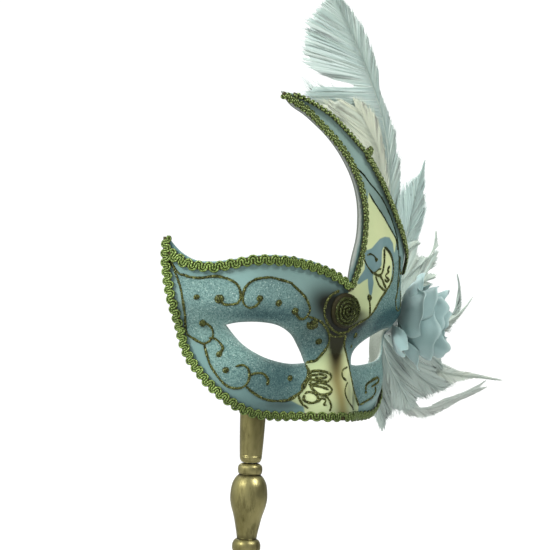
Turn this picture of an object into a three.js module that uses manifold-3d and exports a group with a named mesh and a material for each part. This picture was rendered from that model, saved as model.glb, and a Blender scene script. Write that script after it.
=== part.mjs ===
// Hand-held Venetian half mask: a formed shell with a swan-neck crest, gimp braid, a spiral
// medallion, a fabric flower with feathers at the right temple, and a turned stick that
// pushes on to a peg behind the left cheek. Millimetres, +Z up, the face looks along -Y.
import * as THREE from 'three';
import Module from 'manifold-3d';
import { mergeVertices } from 'three/addons/utils/BufferGeometryUtils.js';

const wasm = await Module();
wasm.setup();

// ---- driving dimensions -------------------------------------------------------------
// The mask is laid out on a curved face surface. u runs round the head from the nose,
// z runs up from the bridge of the nose, and w is the height above the outer surface.
const BRIDGE = [39, -19.5, 130];          // bridge of the nose, from the middle of the grip
const SHELL_THICKNESS = 1.6;
const GAP = 0.35;                          // clearance between pieces that touch
const GRID_STEP = 4.6;                     // facet size of the shell
const WRAP = [[0, 0], [20, 9.5], [35, 21], [50, 33.5], [65, 44], [80, 52], [100, 61], [125, 70]];
const LEAN = 0.13;                         // forward lean of the forehead
const BROW = { rise: 3.7, z: 27, height: 13, width: 85 };
const SOCKET = { depth: 5.8, u: 27.5, width: 15, z: 5.6, height: 11.5 };
const CHEEK = { rise: 5.4, u: 55.5, width: 21, z: -10, height: 18 };
const NOSE = { rise: 11.3, topZ: 24, length: 55, halfWidth: 10, spread: 9 };
const TEMPLE = { flare: 7, fromZ: 14, toZ: 32, fromU: 30, toU: 60 };

const BRAID_WIDTH = { brow: 6.2, side: 5.6, crestInner: 5, crestUpper: 3.2, crestLower: 4.4 };
const BRAID_THICKNESS = 2.2;
const BRAID_STEP = 4.5;

const STICK = { x: -39, y: 19.5 };         // stick axis, measured from the bridge
const SOCKET_TOP = -22;                    // heights on the stick, measured from the bridge
const SOCKET_FLOOR = -44;
const SOCKET_BASE = -53.3;
const SOCKET_BORE = 4.3;
const PEG_RADIUS = 4;
const PEG_TOP = -3;
const PEG_BOTTOM = -38;
const STICK_END = -280;
const TURNING_SIDES = 20;

const FLOWER = { u: 80, z: 25, azimuth: 48 };
const PETAL_THICKNESS = 0.6;
const FAN_ROOT = [76, 40, 25];             // foot of the feather fan, measured from the bridge
const FAN_AZIMUTH = -20;                   // the fan faces this way, in degrees from the front
const FEATHER_THICKNESS = 0.8;

// ---- outlines in u, z ----------------------------------------------------------------
const NOTCH = [2.5, 44.5];
const LEFT_TIP = [-102.3, 62.5];
const CREST_TIP = [-53.5, 139.8];
const BROW_EDGE = [[-5, 48], [-14, 51], [-27, 54], [-41, 55.3], [-54, 55], [-66, 52.5], [-77, 50.5],
  [-86, 50.6], [-93, 53.6], [-98.5, 58], LEFT_TIP];
const LEFT_EDGE = [[-103, 57], [-102, 49], [-99, 39], [-94.5, 26], [-87.5, 5.5], [-77, -8.8],
  [-63.8, -20.3], [-49, -27.4], [-33, -29], [-12, -28.8], [0, -28.8]];
const RIGHT_EDGE = [[12, -28.8], [33, -29], [49, -27.4], [63.8, -20.3], [77, -8.8], [87.5, 5.5],
  [92, 16], [94, 26], [89, 38], [79, 48], [66, 58.5], [54, 70], [45, 81]];
const CONVEX_EDGE = [[39, 88.6], [27, 97.2], [17, 105.6], [8.2, 113.4], [-7.3, 122.9],
  [-16.3, 128.9], [-26.3, 134.9], [-38, 138.2], CREST_TIP];
const CONCAVE_EDGE = [[-48, 133.5], [-38, 128.5], [-26, 120.5], [-15, 111], [-5, 99.5], [1, 89],
  [4, 79], [5, 68], [3.5, 57], NOTCH];
const EYE_UPPER = [[20.5, 6], [25.5, 12], [32, 17], [41, 20.8], [51, 22.2], [61, 21.3], [68, 18.5]];
const EYE_LOWER = [[58, 8.8], [48, 3.2], [38, 0.4], [27, -0.8], [18, 0]];

// ---- the face surface ----------------------------------------------------------------
const clamp01 = (t) => Math.min(1, Math.max(0, t));
const smooth = (t) => clamp01(t) ** 2 * (3 - 2 * clamp01(t));
const bell = (t) => Math.exp(-t * t);

function wrapAngle(u) {
  let i = 1;
  while (i < WRAP.length - 1 && u > WRAP[i][0]) i += 1;
  const [u0, a0] = WRAP[i - 1];
  const [u1, a1] = WRAP[i];
  return THREE.MathUtils.degToRad(a0 + (a1 - a0) * (u - u0) / (u1 - u0));
}

const ARC_STEP = 0.25;
const arcTable = [[0, 0]];
for (let u = 0; u < 125; u += ARC_STEP) {
  const [x, y] = arcTable[arcTable.length - 1];
  const angle = wrapAngle(u + ARC_STEP / 2);
  arcTable.push([x + Math.cos(angle) * ARC_STEP, y + Math.sin(angle) * ARC_STEP]);
}

// Point of the smooth face curve at |u|, seen from above.
function arcPoint(u) {
  const i = Math.min(arcTable.length - 2, Math.floor(u / ARC_STEP));
  const t = u / ARC_STEP - i;
  const [a, b] = [arcTable[i], arcTable[i + 1]];
  return [a[0] + (b[0] - a[0]) * t, a[1] + (b[1] - a[1]) * t];
}

// How far brow, eye sockets, nose, cheeks and temples stand out of the smooth curve.
function relief(u, z) {
  const side = Math.abs(u);
  const brow = BROW.rise * bell((z - BROW.z) / BROW.height) * Math.exp(-((u / BROW.width) ** 4));
  const socket = SOCKET.depth * bell(Math.hypot((side - SOCKET.u) / SOCKET.width,
    (z - SOCKET.z) / SOCKET.height));
  const cheek = CHEEK.rise * bell(Math.hypot((side - CHEEK.u) / CHEEK.width,
    (z - CHEEK.z) / CHEEK.height));
  const down = clamp01((NOSE.topZ - z) / NOSE.length);
  const nose = NOSE.rise * down * Math.exp(-((side / (NOSE.halfWidth + NOSE.spread * down)) ** 3));
  const temple = TEMPLE.flare * smooth((z - TEMPLE.fromZ) / (TEMPLE.toZ - TEMPLE.fromZ))
    * smooth((side - TEMPLE.fromU) / (TEMPLE.toU - TEMPLE.fromU));
  return brow - socket + cheek + nose + temple;
}

function facePoint(u, z) {
  const side = Math.abs(u);
  const sign = Math.sign(u);
  const [x, y] = arcPoint(side);
  const angle = wrapAngle(side);
  const out = relief(u, z);
  const above = Math.max(0, z - 60);
  const lean = LEAN * (Math.min(z, 60) + above - above * above / 200);
  return new THREE.Vector3(sign * (x + Math.sin(angle) * out), y - Math.cos(angle) * out - lean, z);
}

function faceNormal(u, z) {
  const e = 0.4;
  const along = facePoint(u + e, z).sub(facePoint(u - e, z));
  const up = facePoint(u, z + e).sub(facePoint(u, z - e));
  return along.cross(up).normalize();
}

const onFace = (u, z, w) => facePoint(u, z).addScaledVector(faceNormal(u, z), w);

// ---- solids --------------------------------------------------------------------------
function toManifold(geometry) {
  const bare = geometry.clone();
  bare.deleteAttribute('normal');
  bare.deleteAttribute('uv');
  const merged = mergeVertices(bare, 1e-4);
  return new wasm.Manifold(new wasm.Mesh({
    numProp: 3,
    vertProperties: new Float32Array(merged.attributes.position.array),
    triVerts: new Uint32Array(merged.index.array),
  }));
}

function fromManifold(solid) {
  const mesh = solid.getMesh();
  const geometry = new THREE.BufferGeometry();
  const points = [];
  for (let i = 0; i < mesh.numVert; i += 1) points.push(...mesh.position(i));
  geometry.setAttribute('position', new THREE.Float32BufferAttribute(points, 3));
  geometry.setIndex(Array.from(mesh.triVerts));
  return geometry;
}

function indexed(points, faces) {
  const geometry = new THREE.BufferGeometry();
  geometry.setAttribute('position', new THREE.Float32BufferAttribute(points.flat(), 3));
  geometry.setIndex(faces.flat());
  return geometry;
}

// Moves each vertex of a flat piece, whose x, y, z are u, z, w, on to the face surface.
function bend(geometry, dome = () => 0) {
  const p = geometry.attributes.position;
  for (let i = 0; i < p.count; i += 1) {
    const [u, z] = [p.getX(i), p.getY(i)];
    const q = onFace(u, z, p.getZ(i) - dome(u, z));
    p.setXYZ(i, q.x, q.y, q.z);
  }
  return geometry;
}

const vectors = (points) => points.map(([a, b]) => new THREE.Vector2(a, b));

function prism(shape, low, high, curveSegments) {
  const geometry = new THREE.ExtrudeGeometry(shape, {
    depth: high - low, bevelEnabled: false, steps: 1, curveSegments,
  });
  return geometry.translate(0, 0, low);
}

// A flat slab in a grid of small facets. A very slight dome keeps its facets from being
// merged while it is cut, and bend takes the dome away again.
const slabDome = (u, z) => 0.0015 * (u * u + (z - 50) * (z - 50));
function slab(uRange, zRange, low, high) {
  const [width, height] = [uRange[1] - uRange[0], zRange[1] - zRange[0]];
  const geometry = new THREE.BoxGeometry(width, height, high - low,
    Math.round(width / GRID_STEP), Math.round(height / GRID_STEP), 1);
  geometry.translate((uRange[0] + uRange[1]) / 2, (zRange[0] + zRange[1]) / 2, (low + high) / 2);
  const p = geometry.attributes.position;
  for (let i = 0; i < p.count; i += 1) p.setZ(i, p.getZ(i) + slabDome(p.getX(i), p.getY(i)));
  return geometry;
}

function shellOutline() {
  const shape = new THREE.Shape();
  shape.moveTo(...NOTCH);
  shape.splineThru(vectors(BROW_EDGE));
  shape.splineThru(vectors([...LEFT_EDGE, ...RIGHT_EDGE, ...CONVEX_EDGE]));
  shape.splineThru(vectors(CONCAVE_EDGE));
  return shape;
}

function eyeOutline(side) {
  const mirrored = (points) => vectors(points.map(([u, z]) => [side * u, z]));
  const shape = new THREE.Shape();
  shape.moveTo(side * EYE_LOWER[EYE_LOWER.length - 1][0], EYE_LOWER[EYE_LOWER.length - 1][1]);
  shape.splineThru(mirrored(EYE_UPPER));
  shape.splineThru(mirrored(EYE_LOWER));
  return shape;
}

function maskShell() {
  let solid = toManifold(slab([-108, 100], [-34, 144], -SHELL_THICKNESS, 0));
  solid = solid.intersect(toManifold(prism(shellOutline(), -30, 60, 2)));
  for (const side of [-1, 1]) {
    solid = solid.subtract(toManifold(prism(eyeOutline(side), -30, 60, 3)));
  }
  return bend(fromManifold(solid), slabDome);
}

// A flat band along a line of u, z points, lying on the face.
function band(points, width, thickness, closedAt = 0) {
  const curve = new THREE.CatmullRomCurve3(points.map(([u, z]) => new THREE.Vector3(u, z, 0)));
  const count = Math.max(2, Math.round(curve.getLength() / BRAID_STEP));
  const [vertices, faces] = [[], []];
  for (let i = 0; i <= count; i += 1) {
    const centre = curve.getPointAt(i / count);
    const along = curve.getTangentAt(i / count);
    const half = (width / 2) * Math.min(1, closedAt + i / 2);
    for (const [side, w] of [[-1, GAP], [1, GAP], [1, GAP + thickness], [-1, GAP + thickness]]) {
      const q = onFace(centre.x - side * half * along.y, centre.y + side * half * along.x, w);
      vertices.push([q.x, q.y, q.z]);
    }
  }
  for (let i = 0; i < count; i += 1) {
    for (let k = 0; k < 4; k += 1) {
      const [a, b] = [i * 4 + k, i * 4 + (k + 1) % 4];
      faces.push([a, b, a + 4], [b, b + 4, a + 4]);
    }
  }
  const last = count * 4;
  faces.push([0, 2, 1], [0, 3, 2], [last, last + 1, last + 2], [last, last + 2, last + 3]);
  return indexed(vertices, faces);
}

function medallionDisc() {
  const disc = new THREE.CylinderGeometry(8.6, 9.4, 1.2, 28, 1).rotateX(Math.PI / 2);
  return bend(disc.translate(0, 28.5, GAP + 0.6));
}

function medallionSpiral() {
  const turns = 2.6;
  const points = [];
  for (let i = 0; i <= 40; i += 1) {
    const t = i / 40;
    const angle = t * turns * 2 * Math.PI;
    const radius = 1 + 6.2 * t;
    points.push(onFace(radius * Math.cos(angle), 28.5 + radius * Math.sin(angle), 2.75));
  }
  const section = new THREE.Shape(vectors([[0.85, 0], [0.42, 0.74], [-0.42, 0.74], [-0.85, 0],
    [-0.42, -0.74], [0.42, -0.74]]));
  return new THREE.ExtrudeGeometry(section, {
    steps: 60, bevelEnabled: false, extrudePath: new THREE.CatmullRomCurve3(points),
  });
}

// ---- flower --------------------------------------------------------------------------
// The flower's own frame: height runs outwards from the temple, side runs backwards.
function flowerPoint(radius, angle, height) {
  const azimuth = THREE.MathUtils.degToRad(FLOWER.azimuth);
  const out = new THREE.Vector3(Math.sin(azimuth), -Math.cos(azimuth), 0);
  const side = new THREE.Vector3(Math.cos(azimuth), Math.sin(azimuth), 0);
  return facePoint(FLOWER.u, FLOWER.z)
    .addScaledVector(out, height + 2.5)
    .addScaledVector(side, radius * Math.cos(angle))
    .add(new THREE.Vector3(0, 0, radius * Math.sin(angle)));
}

// One die-cut layer: a five-lobed cup of cloth, as a closed skin.
function petalLayer({ reach, foot, rise, power, turn }) {
  const [sectors, rings] = [30, 3];
  const [vertices, faces] = [[], []];
  for (const lift of [0, PETAL_THICKNESS]) {
    const centre = flowerPoint(0, 0, foot + lift);
    vertices.push([centre.x, centre.y, centre.z]);
    for (let j = 1; j <= rings; j += 1) {
      for (let i = 0; i < sectors; i += 1) {
        const angle = (i / sectors) * 2 * Math.PI;
        const lobe = 0.72 + 0.28 * Math.abs(Math.cos(2.5 * angle + turn)) ** 0.6;
        const radius = reach * lobe * j / rings;
        const q = flowerPoint(radius, angle, foot + lift + rise * (radius / reach) ** power);
        vertices.push([q.x, q.y, q.z]);
      }
    }
  }
  const perSkin = 1 + rings * sectors;
  for (let skin = 0; skin < 2; skin += 1) {
    const base = skin * perSkin;
    const add = (a, b, c) => faces.push(skin ? [base + a, base + b, base + c]
      : [base + a, base + c, base + b]);
    for (let i = 0; i < sectors; i += 1) {
      const n = (i + 1) % sectors;
      add(0, 1 + i, 1 + n);
      for (let j = 0; j < rings - 1; j += 1) {
        const [a, b] = [1 + j * sectors + i, 1 + j * sectors + n];
        add(a, a + sectors, b);
        add(b, a + sectors, b + sectors);
      }
    }
  }
  const rim = 1 + (rings - 1) * sectors;
  for (let i = 0; i < sectors; i += 1) {
    const [a, b] = [rim + i, rim + (i + 1) % sectors];
    faces.push([a, b, a + perSkin], [b, b + perSkin, a + perSkin]);
  }
  return indexed(vertices, faces);
}

function flowerBud() {
  const profile = vectors([[0, 11], [1.6, 14], [3.2, 19], [3.8, 23.5], [2.9, 28], [0, 30.5]]);
  const geometry = new THREE.LatheGeometry(profile, 12);
  const p = geometry.attributes.position;
  for (let i = 0; i < p.count; i += 1) {
    const [x, height, y] = [p.getX(i), p.getY(i), p.getZ(i)];
    const q = flowerPoint(Math.hypot(x, y), Math.atan2(x, y), height);
    p.setXYZ(i, q.x, q.y, q.z);
  }
  return geometry;
}

// The glued felt plug that fills the space between the temple and the flower's foot.
function flowerPad() {
  const plug = new THREE.CylinderGeometry(8, 8, 12, 20, 1).translate(0, -4.9, 0);
  const p = plug.attributes.position;
  for (let i = 0; i < p.count; i += 1) {
    const [x, height, y] = [p.getX(i), p.getY(i), p.getZ(i)];
    const q = flowerPoint(Math.hypot(x, y), Math.atan2(x, y), height);
    p.setXYZ(i, q.x, q.y, q.z);
  }
  const behind = bend(slab([60, 100], [8, 44], -12, 2 * GAP), slabDome);
  return fromManifold(toManifold(plug).subtract(toManifold(behind)));
}

// ---- feathers ------------------------------------------------------------------------
// Places flat geometry in the fan: x to the wearer's left, y up, z towards the viewer.
function inFan(geometry, depth) {
  const turn = THREE.MathUtils.degToRad(FAN_AZIMUTH);
  geometry.translate(0, 0, depth);
  geometry.rotateX(Math.PI / 2).rotateZ(turn);
  return geometry.translate(...FAN_ROOT);
}

function feather(outline, depth) {
  const shape = new THREE.Shape();
  shape.moveTo(...outline[0]);
  shape.splineThru(vectors(outline.slice(1)));
  shape.closePath();
  return inFan(prism(shape, 0, FEATHER_THICKNESS, 2), depth);
}

function featherBinding() {
  const wrap = new THREE.CylinderGeometry(3.4, 3.4, 16, 16, 1);
  return inFan(wrap.translate(6, 0, 0), -12);
}

const FEATHERS = {
  plume_tall: [-13, [[6, 12], [-4, 40], [-22, 75], [-40, 102], [-57, 124], [-60, 137], [-40, 146],
    [-34, 165], [-18, 184], [2, 186], [8, 165], [7, 145], [19, 112], [23, 77], [20, 40], [12, 12]]],
  plume_short: [-11.5, [[5, 12], [-6, 50], [-22, 90], [-34, 125], [-24, 138], [-8, 118], [6, 80],
    [12, 40], [10, 12]]],
  leaf_feather: [-10, [[14, 13], [17, 50], [20, 77], [29, 90], [35.5, 98], [37, 80], [37, 64],
    [33, 43], [22, 14]]],
  marabou_upper: [-8.5, [[10, 12], [22, 35], [36, 52], [46, 54], [48, 30], [44, 20], [24, 12]]],
  biot_upper: [-11.5, [[14, 4], [40, 8], [61, 31], [52, 4], [30, -2], [14, 0]]],
  biot_middle: [-10, [[14, -3], [45, 0], [71, 15], [50, -8], [30, -10], [14, -7]]],
  biot_lower: [-11.5, [[12, -10], [30, -22], [54, -32], [93, -32], [60, -38], [30, -30], [11, -15]]],
  biot_lowest: [-13, [[10, -12], [28, -34], [52, -42], [84, -38], [55, -48], [28, -45], [7, -18]]],
  marabou_lower: [-8.5, [[8, -12], [2, -30], [8, -50], [17, -64], [24, -52], [40, -57], [52, -52],
    [45, -38], [30, -24], [14, -12]]],
};

// ---- stick ---------------------------------------------------------------------------
function turned(profile) {
  const geometry = new THREE.LatheGeometry(vectors(profile), TURNING_SIDES);
  return geometry.rotateX(Math.PI / 2).translate(STICK.x, STICK.y, 0);
}

const stickSocket = () => turned([[0, SOCKET_BASE], [4.7, SOCKET_BASE], [5.6, -51.8], [5.85, -50],
  [6.75, -30], [6.8, SOCKET_TOP - 0.8], [6.2, SOCKET_TOP], [SOCKET_BORE, SOCKET_TOP],
  [SOCKET_BORE, SOCKET_FLOOR], [0, SOCKET_FLOOR]]);

const stickShaft = () => turned([[0, STICK_END], [6.4, STICK_END], [8.2, -277], [8.6, -272],
  [6.4, -266], [4.6, -262], [5.4, -254], [6.4, -190], [5.6, -106], [5.4, -101], [7.4, -98.5],
  [7.4, -96], [5.2, -93], [6.4, -86], [9.2, -76], [9.8, -71], [9, -65], [7.2, -61.3],
  [5.75, -59.3], [6.3, -58], [6.3, -55.6], [4.7, SOCKET_BASE - GAP], [0, SOCKET_BASE - GAP]]);

const stickPeg = () => turned([[0, PEG_BOTTOM], [3.2, PEG_BOTTOM], [PEG_RADIUS, PEG_BOTTOM + 1],
  [PEG_RADIUS, PEG_TOP - 1], [3.2, PEG_TOP], [0, PEG_TOP]]);

// The block glued behind the cheek that holds the peg.
function pegBlock() {
  const [low, high] = [-20, -1];
  const block = new THREE.BoxGeometry(15, 18, high - low);
  block.translate(STICK.x, STICK.y - 3.2, (low + high) / 2);
  const bore = new THREE.CylinderGeometry(PEG_RADIUS + 0.3, PEG_RADIUS + 0.3, 40, 24);
  bore.rotateX(Math.PI / 2).translate(STICK.x, STICK.y, low + 13);
  const front = bend(slab([-60, -20], [-30, 12], -SHELL_THICKNESS - GAP, 25), slabDome);
  return fromManifold(toManifold(block).subtract(toManifold(bore)).subtract(toManifold(front)));
}

// ---- assembly ------------------------------------------------------------------------
const COLOURS = {
  satin: { color: 0x7fa3ab, roughness: 0.45, metalness: 0.0 },
  braid: { color: 0x6f7340, roughness: 0.45, metalness: 0.6 },
  antique: { color: 0x3f3a20, roughness: 0.5, metalness: 0.5 },
  cloth: { color: 0x9fbcc0, roughness: 0.8, metalness: 0.0 },
  feather: { color: 0xb4cbc9, roughness: 0.85, metalness: 0.0 },
  gilt: { color: 0x7c7650, roughness: 0.4, metalness: 0.6 },
  wood: { color: 0xb79a6c, roughness: 0.7, metalness: 0.0 },
  felt: { color: 0xdfe3df, roughness: 0.95, metalness: 0.0 },
};

const mask = new THREE.Group();
mask.position.set(...BRIDGE);

function add(name, geometry, look) {
  const mesh = new THREE.Mesh(geometry, new THREE.MeshStandardMaterial(COLOURS[look]));
  mesh.name = name;
  mask.add(mesh);
}

add('mask_shell', maskShell(), 'satin');

const BRAIDS = {
  braid_brow: ['brow', [[-95.6, 52.6], [-90, 49], [-84, 48], [-76, 47.8], [-68, 49.8], [-56, 52.5],
    [-42, 53], [-28, 51.5], [-14, 48.3], [-4, 45], [0, 42]]],
  braid_left_edge: ['side', [[-101, 60], [-100.2, 50], [-97.2, 40], [-92.7, 27], [-85.6, 6],
    [-75.2, -7.4], [-62.5, -18.5], [-48.5, -25.2], [-33, -26.7], [-12, -26.5], [-0.6, -26.5]]],
  braid_right_edge: ['side', [[0.6, -26.5], [12, -26.5], [33, -26.7], [48.5, -25.2], [62.5, -18.5],
    [75.2, -7.4], [81, -0.6]]],
  braid_crest_inner: ['crestInner', [[5, 44], [7, 50], [9.5, 60], [10, 70], [8.5, 80], [5.5, 90],
    [-0.5, 99.5], [-10, 110.5], [-22, 120.5], [-36, 129.8], [-47, 135]]],
  braid_crest_upper: ['crestUpper', [[6, 112.8], [1, 116], [-8, 121.4], [-17, 127.2], [-27, 133.2],
    [-38, 136.6]]],
  braid_crest_lower: ['crestLower', [[8.6, 111.8], [15, 105], [25, 96.4], [36.8, 87.8], [43.5, 79],
    [52.5, 68.2], [64.5, 57], [71, 52]]],
};
for (const [name, [place, points]] of Object.entries(BRAIDS)) {
  add(name, band(points, BRAID_WIDTH[place], BRAID_THICKNESS, 0.6), 'braid');
}
add('medallion_disc', medallionDisc(), 'antique');
add('medallion_spiral', medallionSpiral(), 'braid');

add('flower_pad', flowerPad(), 'felt');
const PETALS = {
  petals_outer: { reach: 23, foot: 2, rise: 11, power: 1.6, turn: 0 },
  petals_middle: { reach: 21, foot: 4, rise: 18, power: 1.4, turn: 1.6 },
  petals_inner: { reach: 16, foot: 6, rise: 21, power: 1.2, turn: 0.6 },
  petals_core: { reach: 9, foot: 8, rise: 21, power: 1, turn: 2.1 },
};
for (const [name, layer] of Object.entries(PETALS)) add(name, petalLayer(layer), 'cloth');
add('flower_bud', flowerBud(), 'cloth');

add('feather_binding', featherBinding(), 'cloth');
for (const [name, [depth, outline]] of Object.entries(FEATHERS)) {
  add(name, feather(outline, depth), 'feather');
}

add('peg_block', pegBlock(), 'wood');
add('stick_peg', stickPeg(), 'wood');
add('stick_socket', stickSocket(), 'gilt');
add('stick_shaft', stickShaft(), 'gilt');

export default mask;
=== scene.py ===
import math

import bmesh
import bpy
import numpy as np
from mathutils import Matrix
from mathutils.geometry import delaunay_2d_cdt


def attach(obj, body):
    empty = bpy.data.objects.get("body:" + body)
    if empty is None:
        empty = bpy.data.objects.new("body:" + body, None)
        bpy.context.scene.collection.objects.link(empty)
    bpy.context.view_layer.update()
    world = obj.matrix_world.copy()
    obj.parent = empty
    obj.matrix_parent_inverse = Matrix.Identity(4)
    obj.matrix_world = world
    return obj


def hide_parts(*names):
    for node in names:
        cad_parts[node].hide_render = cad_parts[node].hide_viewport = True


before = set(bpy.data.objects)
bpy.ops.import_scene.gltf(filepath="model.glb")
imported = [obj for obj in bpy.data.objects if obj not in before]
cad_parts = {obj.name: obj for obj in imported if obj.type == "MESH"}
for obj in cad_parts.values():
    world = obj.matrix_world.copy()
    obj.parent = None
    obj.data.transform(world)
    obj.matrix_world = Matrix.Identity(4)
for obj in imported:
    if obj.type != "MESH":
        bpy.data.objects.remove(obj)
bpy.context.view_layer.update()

MM = 0.001
BRIDGE = np.array([39.0, -19.5, 130.0])  # the bridge of the nose in the part's frame, mm


# ---- camera --------------------------------------------------------------------------
AZIMUTH, ELEVATION, ROLL = (math.radians(v) for v in (-45.6, -1.2, 2.96))
BACK = np.array([math.sin(AZIMUTH) * math.cos(ELEVATION),
                 -math.cos(AZIMUTH) * math.cos(ELEVATION), math.sin(ELEVATION)])
RIGHT = np.array([math.cos(AZIMUTH), math.sin(AZIMUTH), 0.0])
DISTANCE, SHIFT_RIGHT, SHIFT_UP = 1000, -33.44, 46.14  # from the bridge to the camera, mm


def set_up(thing, x_axis, y_axis, z_axis, place):
    """Puts a camera or a lamp in the scene, given its axes and its place in metres."""
    matrix = np.eye(4)
    matrix[:3] = np.stack([x_axis, y_axis, z_axis, place], 1)
    thing.matrix_world = Matrix(matrix.tolist())
    bpy.context.scene.collection.objects.link(thing)


def add_camera():
    up = np.cross(BACK, RIGHT)
    place = BRIDGE + BACK * DISTANCE + RIGHT * SHIFT_RIGHT + up * SHIFT_UP
    data = bpy.data.cameras.new("camera")
    data.sensor_width, data.lens, data.clip_end = 36, 122.4, 30
    camera = bpy.data.objects.new("camera", data)
    set_up(camera, RIGHT * math.cos(ROLL) + up * math.sin(ROLL),
           up * math.cos(ROLL) - RIGHT * math.sin(ROLL), BACK, place * MM)
    bpy.context.scene.camera = camera


add_camera()


# ---- meshes --------------------------------------------------------------------------
def unit(v):
    return v / np.maximum(np.linalg.norm(v, axis=-1, keepdims=True), 1e-9)


def piece(name, points, faces, look, stands_for=(), body="mask", values=None):
    """A mesh from points in mm in the mask's frame, riding on a body."""
    name = name + "_made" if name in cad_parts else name
    mesh = bpy.data.meshes.new(name)
    mesh.from_pydata(((np.asarray(points) + BRIDGE) * MM).tolist(), [], faces)
    for key, value in (values or {}).items():
        attribute = mesh.attributes.new(key, "FLOAT", "POINT")
        attribute.data.foreach_set("value", np.asarray(value, np.float32))
    work = bmesh.new()
    work.from_mesh(mesh)
    bmesh.ops.recalc_face_normals(work, faces=work.faces)
    work.to_mesh(mesh)
    work.free()
    mesh.polygons.foreach_set("use_smooth", [True] * len(mesh.polygons))
    mesh.materials.append(look)
    made = bpy.data.objects.new(name, mesh)
    bpy.context.scene.collection.objects.link(made)
    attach(made, body)
    if stands_for:
        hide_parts(*stands_for)
    return made


class Heap:
    """Several closed bodies gathered into one mesh, with one value set per point."""

    def __init__(self):
        self.points, self.faces, self.values, self.count = [], [], {}, 0

    def add(self, points, faces, **values):
        points = np.asarray(points).reshape(-1, 3)
        self.points.append(points)
        self.faces += [[i + self.count for i in face] for face in faces]
        for key, value in values.items():
            spread = np.broadcast_to(np.asarray(value, float).reshape(-1), (len(points),))
            self.values.setdefault(key, []).append(spread)
        self.count += len(points)

    def piece(self, name, look, slot, stands_for=()):
        values = {key: np.concatenate(rows) for key, rows in self.values.items()}
        return piece(name, np.vstack(self.points), self.faces, look, stands_for,
                     values=values)


def run_along(points):
    """The length of a line up to each of its points."""
    return np.concatenate([[0], np.cumsum(np.linalg.norm(np.diff(points, axis=0), axis=1))])


def curve(points, step):
    """Evenly spaced points along a smooth line through these points."""
    p = np.array(points, float)
    ends = np.vstack([p[:1], p, p[-1:]])
    t = np.linspace(0, 1, 24, endpoint=False)[:, None]
    fine = [0.5 * (2 * b + (c - a) * t + (2 * a - 5 * b + 4 * c - d) * t**2
                   + (3 * b - a - 3 * c + d) * t**3)
            for a, b, c, d in zip(ends, ends[1:], ends[2:], ends[3:])]
    fine = np.vstack([*fine, p[-1:]])
    run = run_along(fine)
    even = np.linspace(0, run[-1], max(3, round(run[-1] / step)) + 1)
    return np.stack([np.interp(even, run, fine[:, k]) for k in range(p.shape[1])], 1)


def ring_faces(rings, sides):
    """Quads between rings of points, then a cap on the first ring and one on the last."""
    faces = [[i * sides + j, i * sides + (j + 1) % sides,
              (i + 1) * sides + (j + 1) % sides, (i + 1) * sides + j]
             for i in range(rings - 1) for j in range(sides)]
    return faces + [list(range(sides))[::-1], list(range((rings - 1) * sides, rings * sides))]


def strands(paths, ups, widths, heights, sides):
    """Closed tubes of oval section; paths is (tube, step, xyz)."""
    paths = np.asarray(paths, float)
    tubes, steps, _ = paths.shape
    along = unit(np.gradient(paths, axis=1))
    side = unit(np.cross(along, ups))
    up = np.cross(side, along)
    angle = (np.arange(sides) + 0.5) * 2 * math.pi / sides
    across = (np.cos(angle) / 2)[:, None] * side[:, :, None]
    rise = (np.sin(angle) / 2)[:, None] * up[:, :, None]
    widths, heights = (np.broadcast_to(v, (tubes, steps))[:, :, None, None]
                       for v in (widths, heights))
    ring = paths[:, :, None] + across * widths + rise * heights
    pattern = ring_faces(steps, sides)
    faces = [[i + tube * steps * sides for i in face] for tube in range(tubes) for face in pattern]
    return ring.reshape(-1, 3), faces


def sheet_solid(grid, thickness):
    """A closed thin skin on a grid of points (rows, columns, xyz)."""
    rows, columns, _ = grid.shape
    normal = unit(np.cross(np.gradient(grid, axis=0), np.gradient(grid, axis=1)))
    points = np.vstack([(grid + normal * thickness / 2).reshape(-1, 3),
                        (grid - normal * thickness / 2).reshape(-1, 3)])
    index = np.arange(rows * columns).reshape(rows, columns)
    a, b, c, d = index[:-1, :-1], index[1:, :-1], index[1:, 1:], index[:-1, 1:]
    top = np.stack([a, b, c, d], -1).reshape(-1, 4)
    rim = np.concatenate([index[0, :-1], index[:-1, -1], index[-1, :0:-1], index[:0:-1, 0]])
    following = np.roll(rim, -1)
    half = rows * columns
    edge = np.stack([rim, following, following + half, rim + half], -1)
    return points, np.vstack([top, top[:, ::-1] + half, edge]).tolist()


# ---- the face's surface --------------------------------------------------------------
# u runs across the face along its surface, z runs up, w stands off outwards, all in mm.
# WRAP: u, and how far the face has turned there, in degrees.
WRAP = [(0, 0), (20, 9.5), (35, 21), (50, 33.5), (65, 44), (80, 52), (100, 61), (130, 71)]
GAP = 0.35  # between the shell and what is glued to it
SHELL_THICKNESS = 1.6
WRAP_U = np.linspace(0, 130, 1301)
WRAP_ANGLE = np.radians(np.interp(WRAP_U, *np.array(WRAP, float).T))


def running(y):
    return np.concatenate([[0], np.cumsum((y[1:] + y[:-1]) / 2 * np.diff(WRAP_U))])


WRAP_X, WRAP_Y = running(np.cos(WRAP_ANGLE)), running(np.sin(WRAP_ANGLE))


def smooth(t):
    t = np.clip(t, 0, 1)
    return t * t * (3 - 2 * t)


def relief(u, z):
    a = np.abs(u)
    brow = 3.7 * np.exp(-((z - 27) / 13) ** 2 - (u / 85) ** 4)
    socket = 5.8 * np.exp(-((a - 27.5) / 15) ** 2 - ((z - 5.6) / 11.5) ** 2)
    cheek = 5.4 * np.exp(-((a - 55.5) / 21) ** 2 - ((z + 10) / 18) ** 2)
    down = np.clip((24 - z) / 55, 0, 1)
    nose = 11.3 * down * np.exp(-(a / (10 + 9 * down)) ** 3)
    temple = 7 * smooth((z - 14) / 18) * smooth((a - 30) / 30)
    return brow - socket + cheek + nose + temple


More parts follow.
